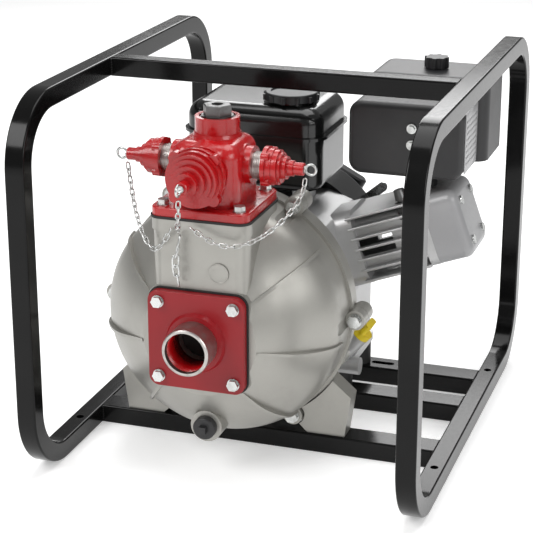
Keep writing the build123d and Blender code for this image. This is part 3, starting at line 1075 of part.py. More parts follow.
# ================================================================ write every piece
PIECES = {
    "left_hoop": left_hoop,
    "right_hoop": right_hoop,
    "top_crossbar": top_crossbar,
    "front_rail": front_rail,
    "middle_rail": middle_rail,
    "rear_rail": rear_rail,
    "rubber_mounts": rubber_mounts,
    "mount_bolts": mount_bolts,
    "front_casing": front_casing,
    "rear_casing": rear_casing,
    "casing_seal": casing_seal,
    "casing_bolts": casing_bolts,
    "suction_flange": suction_flange,
    "suction_nipple": suction_nipple,
    "suction_gasket": suction_gasket,
    "suction_bolts": suction_bolts,
    "valve_flap": valve_flap,
    "volute": volute,
    "impeller": impeller,
    "shaft_seal": shaft_seal,
    "drain_plug": drain_plug,
    "discharge_manifold": discharge_manifold,
    "manifold_gasket": manifold_gasket,
    "manifold_bolts": manifold_bolts,
    "fill_plug": fill_plug,
    "discharge_nipples": discharge_nipples,
    "left_cap": left_cap,
    "right_cap": right_cap,
    "front_cap": front_cap,
    "left_cap_hook": left_cap_hook,
    "right_cap_hook": right_cap_hook,
    "front_cap_hook": front_cap_hook,
    "left_chain": left_chain,
    "right_chain": right_chain,
    "front_chain": front_chain,
    "tail_chain": tail_chain,
    "crankcase": crankcase,
    "crankcase_cover": crankcase_cover,
    "cylinder_head": cylinder_head,
    "valve_cover": valve_cover,
    "muffler": muffler,
    "muffler_guard": muffler_guard,
    "engine_screws": engine_screws,
    "fuel_tank": fuel_tank,
    "fuel_cap": fuel_cap,
    "air_cleaner_base": air_cleaner_base,
    "air_cleaner_cover": air_cleaner_cover,
    "air_cleaner_knob": air_cleaner_knob,
    "carburettor": carburettor,
    "fan_housing": fan_housing,
    "recoil_cover": recoil_cover,
    "starter_grip": starter_grip,
    "crankshaft": crankshaft,
    "flywheel": flywheel,
    "spark_plug": spark_plug,
    "oil_filler_cap": oil_filler_cap,
    "throttle_lever": throttle_lever,
    "choke_lever": choke_lever,
    "engine_switch": engine_switch,
    "fuel_valve_lever": fuel_valve_lever,
}
for name, builder in PIECES.items():
    builder.part.label = name
    export_step(builder.part, f"parts/{name}.step")
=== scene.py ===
"""Looks of the portable fire pump: finishes, chains, threads, engine trim, light and camera.

The axes are the frame's own: +Z up, the suction inlet faces -Y, the shaft lies along Y. Sizes and places in
the classes are in millimetres, and MM carries them to the scene's metres. The studio's are in metres.
"""

import json
import logging
import math
from dataclasses import dataclass, field
from enum import Enum
from typing import Any, Optional, Sequence

import bpy
from mathutils import Matrix, Vector

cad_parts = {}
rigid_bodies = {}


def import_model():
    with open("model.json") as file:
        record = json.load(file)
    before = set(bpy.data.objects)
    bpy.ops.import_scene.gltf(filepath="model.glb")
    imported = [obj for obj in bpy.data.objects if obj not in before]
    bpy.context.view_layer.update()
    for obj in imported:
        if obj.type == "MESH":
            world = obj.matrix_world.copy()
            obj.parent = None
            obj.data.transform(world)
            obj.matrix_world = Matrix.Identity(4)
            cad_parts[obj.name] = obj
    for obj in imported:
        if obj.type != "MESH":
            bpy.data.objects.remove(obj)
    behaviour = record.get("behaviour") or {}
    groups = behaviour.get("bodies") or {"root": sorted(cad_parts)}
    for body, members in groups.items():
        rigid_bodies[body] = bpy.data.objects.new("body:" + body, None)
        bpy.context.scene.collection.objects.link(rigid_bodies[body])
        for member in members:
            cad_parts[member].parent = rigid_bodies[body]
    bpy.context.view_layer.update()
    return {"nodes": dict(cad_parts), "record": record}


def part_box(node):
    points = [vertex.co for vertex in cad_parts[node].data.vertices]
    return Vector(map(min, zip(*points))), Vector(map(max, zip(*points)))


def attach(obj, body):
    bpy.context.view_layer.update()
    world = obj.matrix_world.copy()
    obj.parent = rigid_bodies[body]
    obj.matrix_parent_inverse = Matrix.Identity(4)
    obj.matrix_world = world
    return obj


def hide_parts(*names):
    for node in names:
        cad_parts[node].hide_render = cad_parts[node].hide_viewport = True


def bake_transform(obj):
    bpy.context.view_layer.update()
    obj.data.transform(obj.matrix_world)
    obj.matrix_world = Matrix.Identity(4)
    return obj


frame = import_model()
LOG = logging.getLogger("fire_pump")

MM = 0.001
SMOOTH_ANGLE = math.radians(35)
FACES_UP = 0.9
Colour = tuple[float, float, float]
Point = tuple[float, float, float]


# ------------------------------------------------------------------ shader maths
SEED_DIRECTION: Point = (1.0, 1.7, 0.6)


class Socket:
    """A shader socket whose operators add Math nodes."""

    def __init__(self, tree: bpy.types.NodeTree, link: bpy.types.NodeSocket) -> None:
        """Keeps the tree and the socket that carries the value."""
        self.tree = tree
        self.link = link

    def _math(self, operation: str, other: Any, swapped: bool = False) -> "Socket":
        """Adds one Math node.

        Args:
            operation: the Math node's operation.
            other: a number or another Socket.
            swapped: True where other is the first operand.

        Returns:
            The result as a Socket.
        """
        node = self.tree.nodes.new("ShaderNodeMath")
        node.operation = operation
        for place, value in enumerate((other, self) if swapped else (self, other)):
            if isinstance(value, Socket):
                self.tree.links.new(value.link, node.inputs[place])
            else:
                node.inputs[place].default_value = float(value)
        return Socket(self.tree, node.outputs[0])

    def __add__(self, other: Any) -> "Socket":
        """Sum."""
        return self._math("ADD", other)

    __radd__ = __add__

    def __mul__(self, other: Any) -> "Socket":
        """Product."""
        return self._math("MULTIPLY", other)

    __rmul__ = __mul__

    def __sub__(self, other: Any) -> "Socket":
        """Difference."""
        return self._math("SUBTRACT", other)

    def __rsub__(self, other: Any) -> "Socket":
        """Difference with the number first."""
        return self._math("SUBTRACT", other, swapped=True)


class Shader:
    """A material being built, with one method that adds any node."""

    def __init__(self, name: str) -> None:
        """Starts a material with a Principled surface.

        Args:
            name: the material's name.
        """
        self.material = bpy.data.materials.new(name)
        self.material.use_nodes = True
        self.tree = self.material.node_tree
        self.surface = self.tree.nodes["Principled BSDF"]
        self.place = self.node("ShaderNodeTexCoord", output="Object")

    def node(self, kind: str, settings: Optional[dict[str, Any]] = None, output: Any = 0,
             **inputs: Any) -> Socket:
        """Adds a node.

        Args:
            kind: the node's type.
            settings: properties that are set before the sockets.
            output: name or number of the output that is returned.
            inputs: socket values or links, by name with underscores for spaces, or by n and a number.

        Returns:
            The chosen output as a Socket.
        """
        node = self.tree.nodes.new(kind)
        for key, value in (settings or {}).items():
            setattr(node, key, value)
        for key, value in inputs.items():
            numbered = key[0] == "n" and key[1:].isdigit()
            self._fill(node.inputs[int(key[1:]) if numbered else key.replace("_", " ")], value)
        return Socket(self.tree, node.outputs[output])

    def _fill(self, socket: bpy.types.NodeSocket, value: Any) -> None:
        """Links a Socket to an input, or sets the input to a value.

        Args:
            socket: the node's input.
            value: a Socket, or what the input's default becomes.
        """
        if isinstance(value, Socket):
            self.tree.links.new(value.link, socket)
        else:
            socket.default_value = value

    def noise(self, scale: float, detail: float = 4.0, roughness: float = 0.55,
              stretch: Point = (1.0, 1.0, 1.0), seed: float = 0.0) -> Socket:
        """Noise on the object's own coordinates.

        Args:
            scale: cells per metre.
            detail: how many finer layers are added.
            roughness: how strong the finer layers are.
            stretch: scale of each axis before the noise.
            seed: how far the pattern is moved, so that two noises differ.

        Returns:
            The noise's value, around 0.5.
        """
        moved = self.node("ShaderNodeMapping", Vector=self.place, Scale=stretch,
                          Location=tuple(seed * part for part in SEED_DIRECTION))
        return self.node("ShaderNodeTexNoise", Vector=moved, Scale=scale, Detail=detail,
                         Roughness=roughness)

    def band(self, value: Socket, low: float, high: float) -> Socket:
        """Smooth mask of a value.

        Args:
            value: what the mask follows.
            low: where it is 0.
            high: where it is 1.

        Returns:
            The mask.
        """
        return self.node("ShaderNodeMapRange", {"interpolation_type": "SMOOTHSTEP"}, Value=value,
                         From_Min=low, From_Max=high)

    def mix(self, factor: Any, first: Any, second: Any) -> Socket:
        """Colour mix.

        Args:
            factor: share of the second colour.
            first: a colour or a link.
            second: a colour or a link.

        Returns:
            The mixed colour.
        """
        return self.node("ShaderNodeMix", {"data_type": "RGBA"}, output=2, n0=factor,
                         n6=rgba(first), n7=rgba(second))

    def bump(self, height: Socket, distance: float, strength: float = 1.0,
             under: Optional[Socket] = None) -> Socket:
        """Bump of a height, on top of another normal if one is given.

        Args:
            height: a value between 0 and 1.
            distance: what a height of 1 stands for, in metres.
            strength: how much of the bump shows.
            under: the normal below it.

        Returns:
            The bumped normal.
        """
        extra = {} if under is None else {"Normal": under}
        return self.node("ShaderNodeBump", Height=height, Distance=distance, Strength=strength, **extra)

    def dress(self, **sockets: Any) -> bpy.types.Material:
        """Sets the surface's sockets.

        Args:
            sockets: values or links, by name with underscores for spaces.

        Returns:
            The material.
        """
        for key, value in sockets.items():
            self._fill(self.surface.inputs[key.replace("_", " ")], value)
        return self.material


def rgba(value: Any) -> Any:
    """A colour with its alpha, or the link it already is."""
    return value if isinstance(value, Socket) else (*value, 1.0)


# ------------------------------------------------------------------ finishes
@dataclass(frozen=True)
class Enamel:
    """Sprayed enamel over steel or a casting, with dust, rub marks and the skin's ripple."""

    name: str
    colour: Colour
    worn: Colour
    roughness: float
    coat: float
    ripple: float = 0.00004
    ripple_scale: float = 420.0
    casting: float = 0.0
    casting_scale: float = 900.0
    specular: float = 0.5
    coat_roughness: float = 0.12
    clouding: float = 0.55
    scuffing: float = 0.35
    scuff_dulling: float = 0.14
    uneven_gloss: float = 0.16
    lump_scale: float = 95.0
    lump_to_grain: float = 3.0

    def material(self) -> bpy.types.Material:
        """Builds the material.

        Returns:
            The enamel.
        """
        shader = Shader(self.name)
        cloud = shader.noise(scale=9.0, detail=5.0)
        fine = shader.noise(scale=160.0, detail=5.0, seed=3.0)
        rubbed = shader.noise(scale=55.0, detail=8.0, roughness=0.72, stretch=(1.0, 1.0, 3.5), seed=7.0)
        scuffs = shader.band(rubbed, low=0.60, high=0.74)
        tone = shader.mix(shader.band(cloud, low=0.35, high=0.75) * self.clouding, self.colour, self.worn)
        colour = shader.mix(scuffs * self.scuffing, tone, self.worn)
        gloss = self.roughness + (fine - 0.5) * self.uneven_gloss + scuffs * self.scuff_dulling
        skin = shader.bump(shader.noise(self.ripple_scale, detail=2.0, seed=1.0), self.ripple)
        if self.casting:
            sand = shader.noise(self.casting_scale, detail=6.0, roughness=0.6, seed=5.0)
            skin = shader.bump(sand, self.casting, under=skin)
            lumps = shader.noise(self.lump_scale, detail=3.0, seed=6.0)
            skin = shader.bump(lumps, self.casting * self.lump_to_grain, under=skin)
        return shader.dress(Base_Color=colour, Roughness=gloss, Coat_Weight=self.coat,
                            Coat_Roughness=self.coat_roughness, Specular_IOR_Level=self.specular,
                            Normal=skin)


@dataclass(frozen=True)
class CastAlloy:
    """Bare light alloy: sand-cast or die-cast, with grain, stains and a soft shine."""

    name: str
    colour: Colour
    stain: Colour
    roughness: float
    metallic: float
    grain: float
    grain_scale: float = 1100.0
    pit_to_grain_scale: float = 0.55
    pit_shade: float = 0.6
    pitting: float = 0.35
    clouding: float = 0.45
    blotching: float = 0.30
    blotch_dulling: float = 0.06
    uneven_gloss: float = 0.22
    wave_scale: float = 60.0
    wave_to_grain: float = 2.0

    def material(self) -> bpy.types.Material:
        """Builds the material.

        Returns:
            The alloy.
        """
        shader = Shader(self.name)
        cloud = shader.noise(scale=7.0, detail=6.0, roughness=0.6)
        marbling = shader.noise(scale=24.0, detail=7.0, roughness=0.65, seed=2.0)
        blotch = shader.band(marbling, low=0.50, high=0.78)
        sand = shader.noise(self.grain_scale, detail=6.0, roughness=0.62, seed=4.0)
        holes = shader.noise(self.grain_scale * self.pit_to_grain_scale, detail=3.0, seed=9.0)
        pits = shader.band(holes, low=0.64, high=0.78)
        pit_colour = tuple(part * self.pit_shade for part in self.stain)
        tone = shader.mix(shader.band(cloud, low=0.30, high=0.80) * self.clouding, self.colour, self.stain)
        spotted = shader.mix(blotch * self.blotching, tone, self.stain)
        colour = shader.mix(pits * self.pitting, spotted, pit_colour)
        gloss = self.roughness + (sand - 0.5) * self.uneven_gloss + blotch * self.blotch_dulling
        skin = shader.bump(sand, self.grain)
        waves = shader.noise(self.wave_scale, detail=3.0, seed=8.0)
        skin = shader.bump(waves, self.grain * self.wave_to_grain, under=skin)
        return shader.dress(Base_Color=colour, Roughness=gloss, Metallic=self.metallic, Normal=skin)


@dataclass(frozen=True)
class PlatedSteel:
    """Bright zinc plate or turned steel, with drawn lines and dulled patches."""

    name: str
    colour: Colour
    dull: Colour
    roughness: float
    lines: Point = (1.0, 1.0, 1.0)
    line_scale: float = 700.0
    line_depth: float = 0.00002
    patching: float = 0.6
    patch_dulling: float = 0.16
    uneven_gloss: float = 0.16
    speckling: float = 0.3
    speck_shade: float = 0.5

    def material(self) -> bpy.types.Material:
        """Builds the material.

        Returns:
            The plated steel.
        """
        shader = Shader(self.name)
        patch = shader.band(shader.noise(scale=70.0, detail=6.0, roughness=0.65), low=0.42, high=0.72)
        drawn = shader.noise(self.line_scale, detail=3.0, roughness=0.6, stretch=self.lines, seed=2.0)
        speck = shader.band(shader.noise(scale=900.0, detail=3.0, seed=5.0), low=0.62, high=0.75)
        speck_colour = tuple(part * self.speck_shade for part in self.dull)
        tone = shader.mix(patch * self.patching, self.colour, self.dull)
        colour = shader.mix(speck * self.speckling, tone, speck_colour)
        gloss = self.roughness + patch * self.patch_dulling + (drawn - 0.5) * self.uneven_gloss
        return shader.dress(Base_Color=colour, Roughness=gloss, Metallic=1.0,
                            Normal=shader.bump(drawn, self.line_depth))


@dataclass(frozen=True)
class Moulding:
    """Moulded plastic or rubber, with a spark-eroded grain and a little bloom."""

    name: str
    colour: Colour
    bloom: Colour
    roughness: float
    grain: float = 0.00005
    grain_scale: float = 1300.0
    hazing: float = 0.5
    haze_dulling: float = 0.05
    uneven_gloss: float = 0.2

    def material(self) -> bpy.types.Material:
        """Builds the material.

        Returns:
            The moulded plastic or rubber.
        """
        shader = Shader(self.name)
        haze = shader.band(shader.noise(scale=18.0, detail=6.0, roughness=0.6), low=0.40, high=0.80)
        leather = shader.noise(self.grain_scale, detail=4.0, roughness=0.6, seed=3.0)
        colour = shader.mix(haze * self.hazing, self.colour, self.bloom)
        gloss = self.roughness + (leather - 0.5) * self.uneven_gloss + haze * self.haze_dulling
        return shader.dress(Base_Color=colour, Roughness=gloss, Normal=shader.bump(leather, self.grain))


class Finish(Enum):
    """The finishes of this pump, each with the name of its material slot in the record."""

    FRAME = "frame_enamel"
    CASTING = "cast_aluminium"
    RED = "red_enamel"
    PLATE = "red_plate"
    ZINC = "zinc"
    STEEL = "bare_steel"
    RUBBER = "black_rubber"
    PLASTIC = "black_plastic"
    GLOSS = "gloss_black"
    MUFFLER = "muffler_black"
    GREY = "grey_paint"
    ENGINE = "engine_aluminium"
    IRON = "cast_iron"
    YELLOW = "yellow_plastic"
    RED_PLASTIC = "red_plastic"
    DARK_STEEL = "steel_dark"


RECIPES: dict[Finish, Any] = {
    Finish.FRAME: Enamel("frame_black", (0.003, 0.003, 0.003), (0.007, 0.007, 0.007), 0.15, 0.14,
                         ripple=0.00001, specular=0.12),
    Finish.CASTING: CastAlloy("casing_alloy", (0.37, 0.362, 0.335), (0.27, 0.263, 0.24), 0.36, 0.60,
                              0.00006),
    Finish.RED: Enamel("manifold_red", (0.42, 0.004, 0.006), (0.26, 0.003, 0.005), 0.22, 0.50,
                       ripple=0.00016, ripple_scale=240.0, casting=0.00034, casting_scale=420.0,
                       specular=0.4),
    Finish.PLATE: Enamel("flange_red", (0.26, 0.005, 0.009), (0.19, 0.005, 0.008), 0.36, 0.16,
                         ripple=0.00006, specular=0.3),
    Finish.ZINC: PlatedSteel("zinc_plate", (0.60, 0.61, 0.60), (0.36, 0.36, 0.34), 0.26),
    Finish.STEEL: PlatedSteel("turned_steel", (0.46, 0.44, 0.42), (0.28, 0.26, 0.24), 0.34,
                              lines=(1.0, 14.0, 1.0), line_scale=260.0),
    Finish.RUBBER: Moulding("black_rubber", (0.010, 0.010, 0.010), (0.026, 0.025, 0.024), 0.62),
    Finish.PLASTIC: Moulding("black_plastic", (0.012, 0.012, 0.013), (0.022, 0.022, 0.023), 0.42),
    Finish.GLOSS: Enamel("tank_black", (0.004, 0.004, 0.004), (0.010, 0.010, 0.010), 0.20, 0.35,
                         ripple=0.00001, specular=0.35),
    Finish.MUFFLER: Enamel("muffler_black", (0.014, 0.014, 0.015), (0.030, 0.029, 0.028), 0.50, 0.05,
                           ripple=0.00008, ripple_scale=900.0),
    Finish.GREY: Enamel("cover_grey", (0.30, 0.30, 0.305), (0.23, 0.23, 0.235), 0.36, 0.20),
    Finish.ENGINE: CastAlloy("engine_alloy", (0.52, 0.52, 0.52), (0.33, 0.33, 0.325), 0.40, 0.70,
                             0.00005),
    Finish.IRON: CastAlloy("grey_iron", (0.16, 0.15, 0.14), (0.10, 0.085, 0.07), 0.60, 0.60, 0.0001),
    Finish.YELLOW: Moulding("cap_yellow", (0.68, 0.52, 0.010), (0.56, 0.42, 0.012), 0.36),
    Finish.RED_PLASTIC: Moulding("switch_red", (0.50, 0.010, 0.012), (0.38, 0.012, 0.014), 0.34),
    Finish.DARK_STEEL: PlatedSteel("dark_steel", (0.16, 0.16, 0.16), (0.09, 0.085, 0.08), 0.38),
}


class Workshop:
    """Makes each finish once and puts it on pieces and CAD nodes."""

    def __init__(self) -> None:
        """Makes every finish and notes which node takes which."""
        self.made = {finish: recipe.material() for finish, recipe in RECIPES.items()}
        self.slots = {entry["node"]: Finish(entry["material_slot"])
                      for entry in frame["record"]["subparts"]}

    def dress_nodes(self) -> None:
        """Gives every CAD node the material of its record slot."""
        for name, node in frame["nodes"].items():
            for slot in node.material_slots:
                slot.material = self.made[self.slots[name]]
            LOG.info("node %s in %s", name, self.slots[name].value)

    def dress(self, piece: bpy.types.Object, finish: Finish) -> None:
        """Gives a new piece its finish.

        Args:
            piece: a mesh object.
            finish: which finish it takes.
        """
        piece.data.materials.clear()
        piece.data.materials.append(self.made[finish])


# ------------------------------------------------------------------ modelling helpers
def deselect() -> None:
    """Leaves nothing selected, so that an operator acts on the new piece alone."""
    for item in bpy.context.view_layer.objects:
        item.select_set(False)


def pick(piece: bpy.types.Object) -> None:
    """Selects one piece alone and makes it the active one.

    Args:
        piece: the piece that the next operator acts on.
    """
    deselect()
    piece.select_set(True)
    bpy.context.view_layer.objects.active = piece


def settle(piece: bpy.types.Object) -> None:
    """Moves a piece's place into its mesh, so that its object sits at the origin."""
    pick(piece)
    bpy.ops.object.transform_apply(location=True, rotation=True, scale=True)


def turn_to(direction: Vector) -> Matrix:
    """Rotation that carries +Z to a direction."""
    return Vector((0, 0, 1)).rotation_difference(direction).to_matrix().to_4x4()


def join(parts: Sequence[bpy.types.Object], name: str) -> bpy.types.Object:
    """Joins pieces into one mesh object at the origin.

    Args:
        parts: the pieces, each with its own mesh.
        name: the joined piece's name.

    Returns:
        The joined object.
    """
    deselect()
    for part in parts:
        part.select_set(True)
    bpy.context.view_layer.objects.active = parts[0]
    if len(parts) > 1:
        bpy.ops.object.join()
    whole = parts[0]
    whole.name = name
    whole.data.name = name
    settle(whole)
    return whole


def place_copy(template: bpy.types.Object, where: Matrix) -> bpy.types.Object:
    """Copies a template with its own mesh.

    Args:
        template: the piece that is copied.
        where: the matrix that moves the copy's mesh.

    Returns:
        The copy.
    """
    copy = template.copy()
    copy.data = template.data.copy()
    copy.data.transform(where)
    bpy.context.collection.objects.link(copy)
    return copy


def discard(piece: bpy.types.Object) -> None:
    """Removes a template once its copies are made."""
    bpy.data.objects.remove(piece, do_unlink=True)


# ------------------------------------------------------------------ chains
ON_THE_MIDDLE = 1e-6


class Tether(Enum):
    """The hook body that a chain's upper end rides on, where it isn't the unit. A chain with one is not
    attached to that body: its links are left unparented at the origin.
    """

    LEFT = "left_hook"
    RIGHT = "right_hook"
    FRONT = "front_hook"
    NONE = ""


@dataclass
class Chain:
    """A chain of twisted wire links hanging along its route."""

    name: str
    route: Sequence[Point]
    width: float
    link_length: float
    wire: float
    tether: Tether = Tether.NONE
    twist: float = 12.0
    link_turn: float = 90.0
    first_turn: float = 17.0
    fewest_links: int = 2

    def spline(self) -> list[Vector]:
        """Draws the route as a smooth line.

        Returns:
            Points along the line, in metres.
        """
        curve = bpy.data.curves.new(self.name + "_line", "CURVE")
        curve.dimensions = "3D"
        curve.resolution_u = 24
        line = curve.splines.new("NURBS")
        line.points.add(len(self.route) - 1)
        for point, place in zip(line.points, self.route):
            point.co = (*[part * MM for part in place], 1.0)
        line.order_u = 3
        line.use_endpoint_u = True
        holder = bpy.data.objects.new(self.name + "_line", curve)
        bpy.context.collection.objects.link(holder)
        mesh = bpy.data.meshes.new_from_object(holder)
        points = [vertex.co.copy() for vertex in mesh.vertices]
        bpy.data.objects.remove(holder, do_unlink=True)
        bpy.data.meshes.remove(mesh)
        return points

    def link(self) -> bpy.types.Object:
        """Makes one oval link of round wire by pulling a ring's ends apart and twisting it.

        Returns:
            The link, lying along +Z and open along Y.
        """
        major = (self.width - self.wire) / 2
        deselect()
        bpy.ops.mesh.primitive_torus_add(major_radius=major * MM, minor_radius=self.wire / 2 * MM,
                                         major_segments=20, minor_segments=7, rotation=(math.pi / 2, 0, 0))
        link = bpy.context.active_object
        settle(link)
        straight = (self.link_length - self.width) / 2 * MM
        turn = math.radians(self.twist)
        half = self.link_length / 2 * MM
        for vertex in link.data.vertices:
            if abs(vertex.co.z) > ON_THE_MIDDLE:
                vertex.co.z += math.copysign(straight, vertex.co.z)
            angle = turn * vertex.co.z / half
            x, y = vertex.co.x, vertex.co.y
            vertex.co.x = x * math.cos(angle) - y * math.sin(angle)
            vertex.co.y = x * math.sin(angle) + y * math.cos(angle)
        return link

    def build(self, workshop: Workshop) -> None:
        """Args:
            workshop: gives the chain its finish.
        """
        points = self.spline()
        lengths = [0.0]
        for before, after in zip(points, points[1:]):
            lengths.append(lengths[-1] + (after - before).length)
        total = lengths[-1]
        pitch = (self.link_length - 2 * self.wire) * MM
        run = total - self.link_length * MM
        count = max(self.fewest_links, round(run / pitch) + 1)
        step = run / (count - 1)
        template = self.link()
        links = []
        for number in range(count):
            along = self.link_length * MM / 2 + number * step
            place, tangent = self._at(points, lengths, along)
            spin = math.radians(self.link_turn * number + self.first_turn)
            tilt = turn_to(tangent) @ Matrix.Rotation(spin, 4, "Z")
            links.append(place_copy(template, Matrix.Translation(place) @ tilt))
        discard(template)
        piece = join(links, self.name + "_links")
        bpy.ops.object.shade_smooth()
        workshop.dress(piece, Finish.ZINC)
        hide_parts(self.name)
        if self.tether is Tether.NONE:
            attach(piece, "unit")
        else:
            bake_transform(piece)
        LOG.info("chain %s: %d links, %.0f mm", self.name, count, total / MM)

    @staticmethod
    def _at(points: list[Vector], lengths: list[float], along: float) -> tuple[Vector, Vector]:
        """Finds a place on the line.

        Args:
            points: the line's points.
            lengths: length of the line up to each point.
            along: how far along the place lies.

        Returns:
            The place and the line's direction there.
        """
        index = next((number for number, length in enumerate(lengths) if number and length >= along),
                     len(lengths) - 1)
        run = points[index] - points[index - 1]
        share = (along - lengths[index - 1]) / run.length
        return points[index - 1] + run * share, run.normalized()


CAP_CHAIN: dict[str, float] = {"width": 7.0, "link_length": 12.5, "wire": 1.9}
TAIL_CHAIN: dict[str, float] = {"width": 10.0, "link_length": 19.0, "wire": 2.6}
CHAINS: tuple[Chain, ...] = (
    Chain("left_chain",
          ((-158, -184, 395.5), (-151, -193, 372), (-140, -210, 352), (-127, -228, 334), (-111, -247, 318),
           (-94, -259, 308), (-83, -262, 316), (-75, -261, 329), (-70, -258, 340)),
          tether=Tether.LEFT, **CAP_CHAIN),
    Chain("right_chain",
          ((76, -184, 395.5), (77, -191, 383), (74, -203, 371), (67, -222, 358), (52, -243, 343),
           (33, -258, 331), (10, -264, 324), (-12, -264, 326), (-32, -262, 335), (-48, -258, 343)),
          tether=Tether.RIGHT, **CAP_CHAIN),
    Chain("front_chain",
          ((-41, -309, 391.5), (-43, -305, 374), (-49, -293, 355), (-54, -279, 343), (-59, -268, 341),
           (-61, -261, 346)),
          tether=Tether.FRONT, **CAP_CHAIN),
    Chain("tail_chain",
          ((-60, -257, 332), (-61, -261, 318), (-65, -262, 300), (-64, -262, 281), (-62, -257, 264)),
          **TAIL_CHAIN),
)


# ------------------------------------------------------------------ pipe threads
@dataclass
class PipeThread:
    """Ridges of a taper thread on the outside of a pipe."""

    name: str
    centre: Point
    axis: Point
    radius: float
    start: float
    turns: int
    pitch: float
    sunk: float = 0.25
    ridge_to_pitch: float = 0.42

    def build(self, workshop: Workshop) -> None:
        """Stacks the thread's ridges along the pipe and joins them.

        Args:
            workshop: gives the thread its finish.
        """
        axis = Vector(self.axis)
        ridges = []
        for turn in range(self.turns):
            along = self.start + turn * self.pitch
            deselect()
            bpy.ops.mesh.primitive_torus_add(major_radius=(self.radius - self.sunk) * MM,
                                             minor_radius=self.pitch * self.ridge_to_pitch * MM,
                                             major_segments=64, minor_segments=8)
            ridge = bpy.context.active_object
            where = Vector(self.centre) * MM + axis * along * MM
            ridge.data.transform(Matrix.Translation(where) @ turn_to(axis))
            ridges.append(ridge)
        piece = join(ridges, self.name)
        bpy.ops.object.shade_smooth()
        workshop.dress(piece, Finish.STEEL)
        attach(piece, "unit")
        LOG.info("thread %s: %d turns", self.name, self.turns)


MANIFOLD_CENTRE: Point = (-41, -184, 406)
THREADS: tuple[PipeThread, ...] = tuple(
    PipeThread(f"{side}_nipple_thread", MANIFOLD_CENTRE, (direction, 0, 0), radius=16.7,
               start=54.5, turns=4, pitch=2.2)
    for side, direction in (("left", -1), ("right", 1)))


# ------------------------------------------------------------------ weld beads
@dataclass
class WeldBeads:
    """Rippled beads where the cross rails meet the hoops."""

    rails: Sequence[str] = ("top_crossbar", "front_rail", "middle_rail", "rear_rail")
    bead_radius: float = 2.6
    ripple: float = 2.9
    crown: float = 0.8
    squeeze: float = 0.85
    lean: float = 14.0
    off_the_end: float = 0.4
    corner_gap: float = 3.0
    fewest_ripples: int = 3

    def build(self, workshop: Workshop) -> None:
        """Lays a row of overlapping ripples along both sides of every rail end.

        Args:
            workshop: gives the beads their finish.
        """
        template = self._ripple()
        beads = []
        for rail in self.rails:
            low, high = (Vector(corner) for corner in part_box(rail))
            bottom, top = low.z + self.corner_gap * MM, high.z - self.corner_gap * MM
            for end in (low.x + self.off_the_end * MM, high.x - self.off_the_end * MM):
                for side in (low.y, high.y):
                    beads += self._row(template, Vector((end, side, bottom)), Vector((end, side, top)))
        discard(template)
        piece = join(beads, "weld_beads")
        bpy.ops.object.shade_smooth()
        workshop.dress(piece, Finish.FRAME)
        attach(piece, "unit")
        LOG.info("weld beads: %d ripples", len(beads))

    def _ripple(self) -> bpy.types.Object:
        """Makes one ripple by flattening a ball.

        Returns:
            The ripple, at the origin.
        """
        deselect()
        bpy.ops.mesh.primitive_uv_sphere_add(segments=12, ring_count=8, radius=self.bead_radius * MM)
        ripple = bpy.context.active_object
        for vertex in ripple.data.vertices:
            vertex.co.z *= self.crown
            vertex.co.y *= self.squeeze
        return ripple

    def _row(self, template: bpy.types.Object, start: Vector, end: Vector) -> list[bpy.types.Object]:
        """Copies the ripple along a line.

        Args:
            template: the ripple.
            start: middle of the first copy.
            end: middle of the last copy.

        Returns:
            The copies.
        """
        count = max(self.fewest_ripples, round((end - start).length / (self.ripple * MM)))
        tilt = Matrix.Rotation(math.radians(self.lean), 4, "X")
        return [place_copy(template, Matrix.Translation(start.lerp(end, number / (count - 1))) @ tilt)
                for number in range(count)]


# ------------------------------------------------------------------ trim on the pump
@dataclass
class InletPaint:
    """Red enamel that ran into the suction nipple's bore."""

    inner: float = 25.75
    outer: float = 26.15
    mouth_gap: float = 7.0

    def build(self, workshop: Workshop) -> None:
        """Makes a thin open sleeve inside the nipple.

        Args:
            workshop: gives the sleeve its finish.
        """
        low, high = (Vector(corner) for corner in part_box("suction_nipple"))
        centre = (low + high) / 2
        start = low.y + self.mouth_gap * MM
        length = high.y - start
        deselect()
        bpy.ops.mesh.primitive_cylinder_add(vertices=96, radius=self.outer * MM, depth=length,
                                            end_fill_type="NOTHING")
        sleeve = bpy.context.active_object
        shell = sleeve.modifiers.new("wall", "SOLIDIFY")
        shell.thickness = (self.outer - self.inner) * MM
        shell.offset = -1.0
        bpy.ops.object.modifier_apply(modifier="wall")
        where = Matrix.Translation((centre.x, start + length / 2, centre.z))
        sleeve.data.transform(where @ Matrix.Rotation(math.pi / 2, 4, "X"))
        sleeve.name = "inlet_paint"
        bpy.ops.object.shade_smooth()
        workshop.dress(sleeve, Finish.RED)
        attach(sleeve, "unit")
        LOG.info("inlet paint")


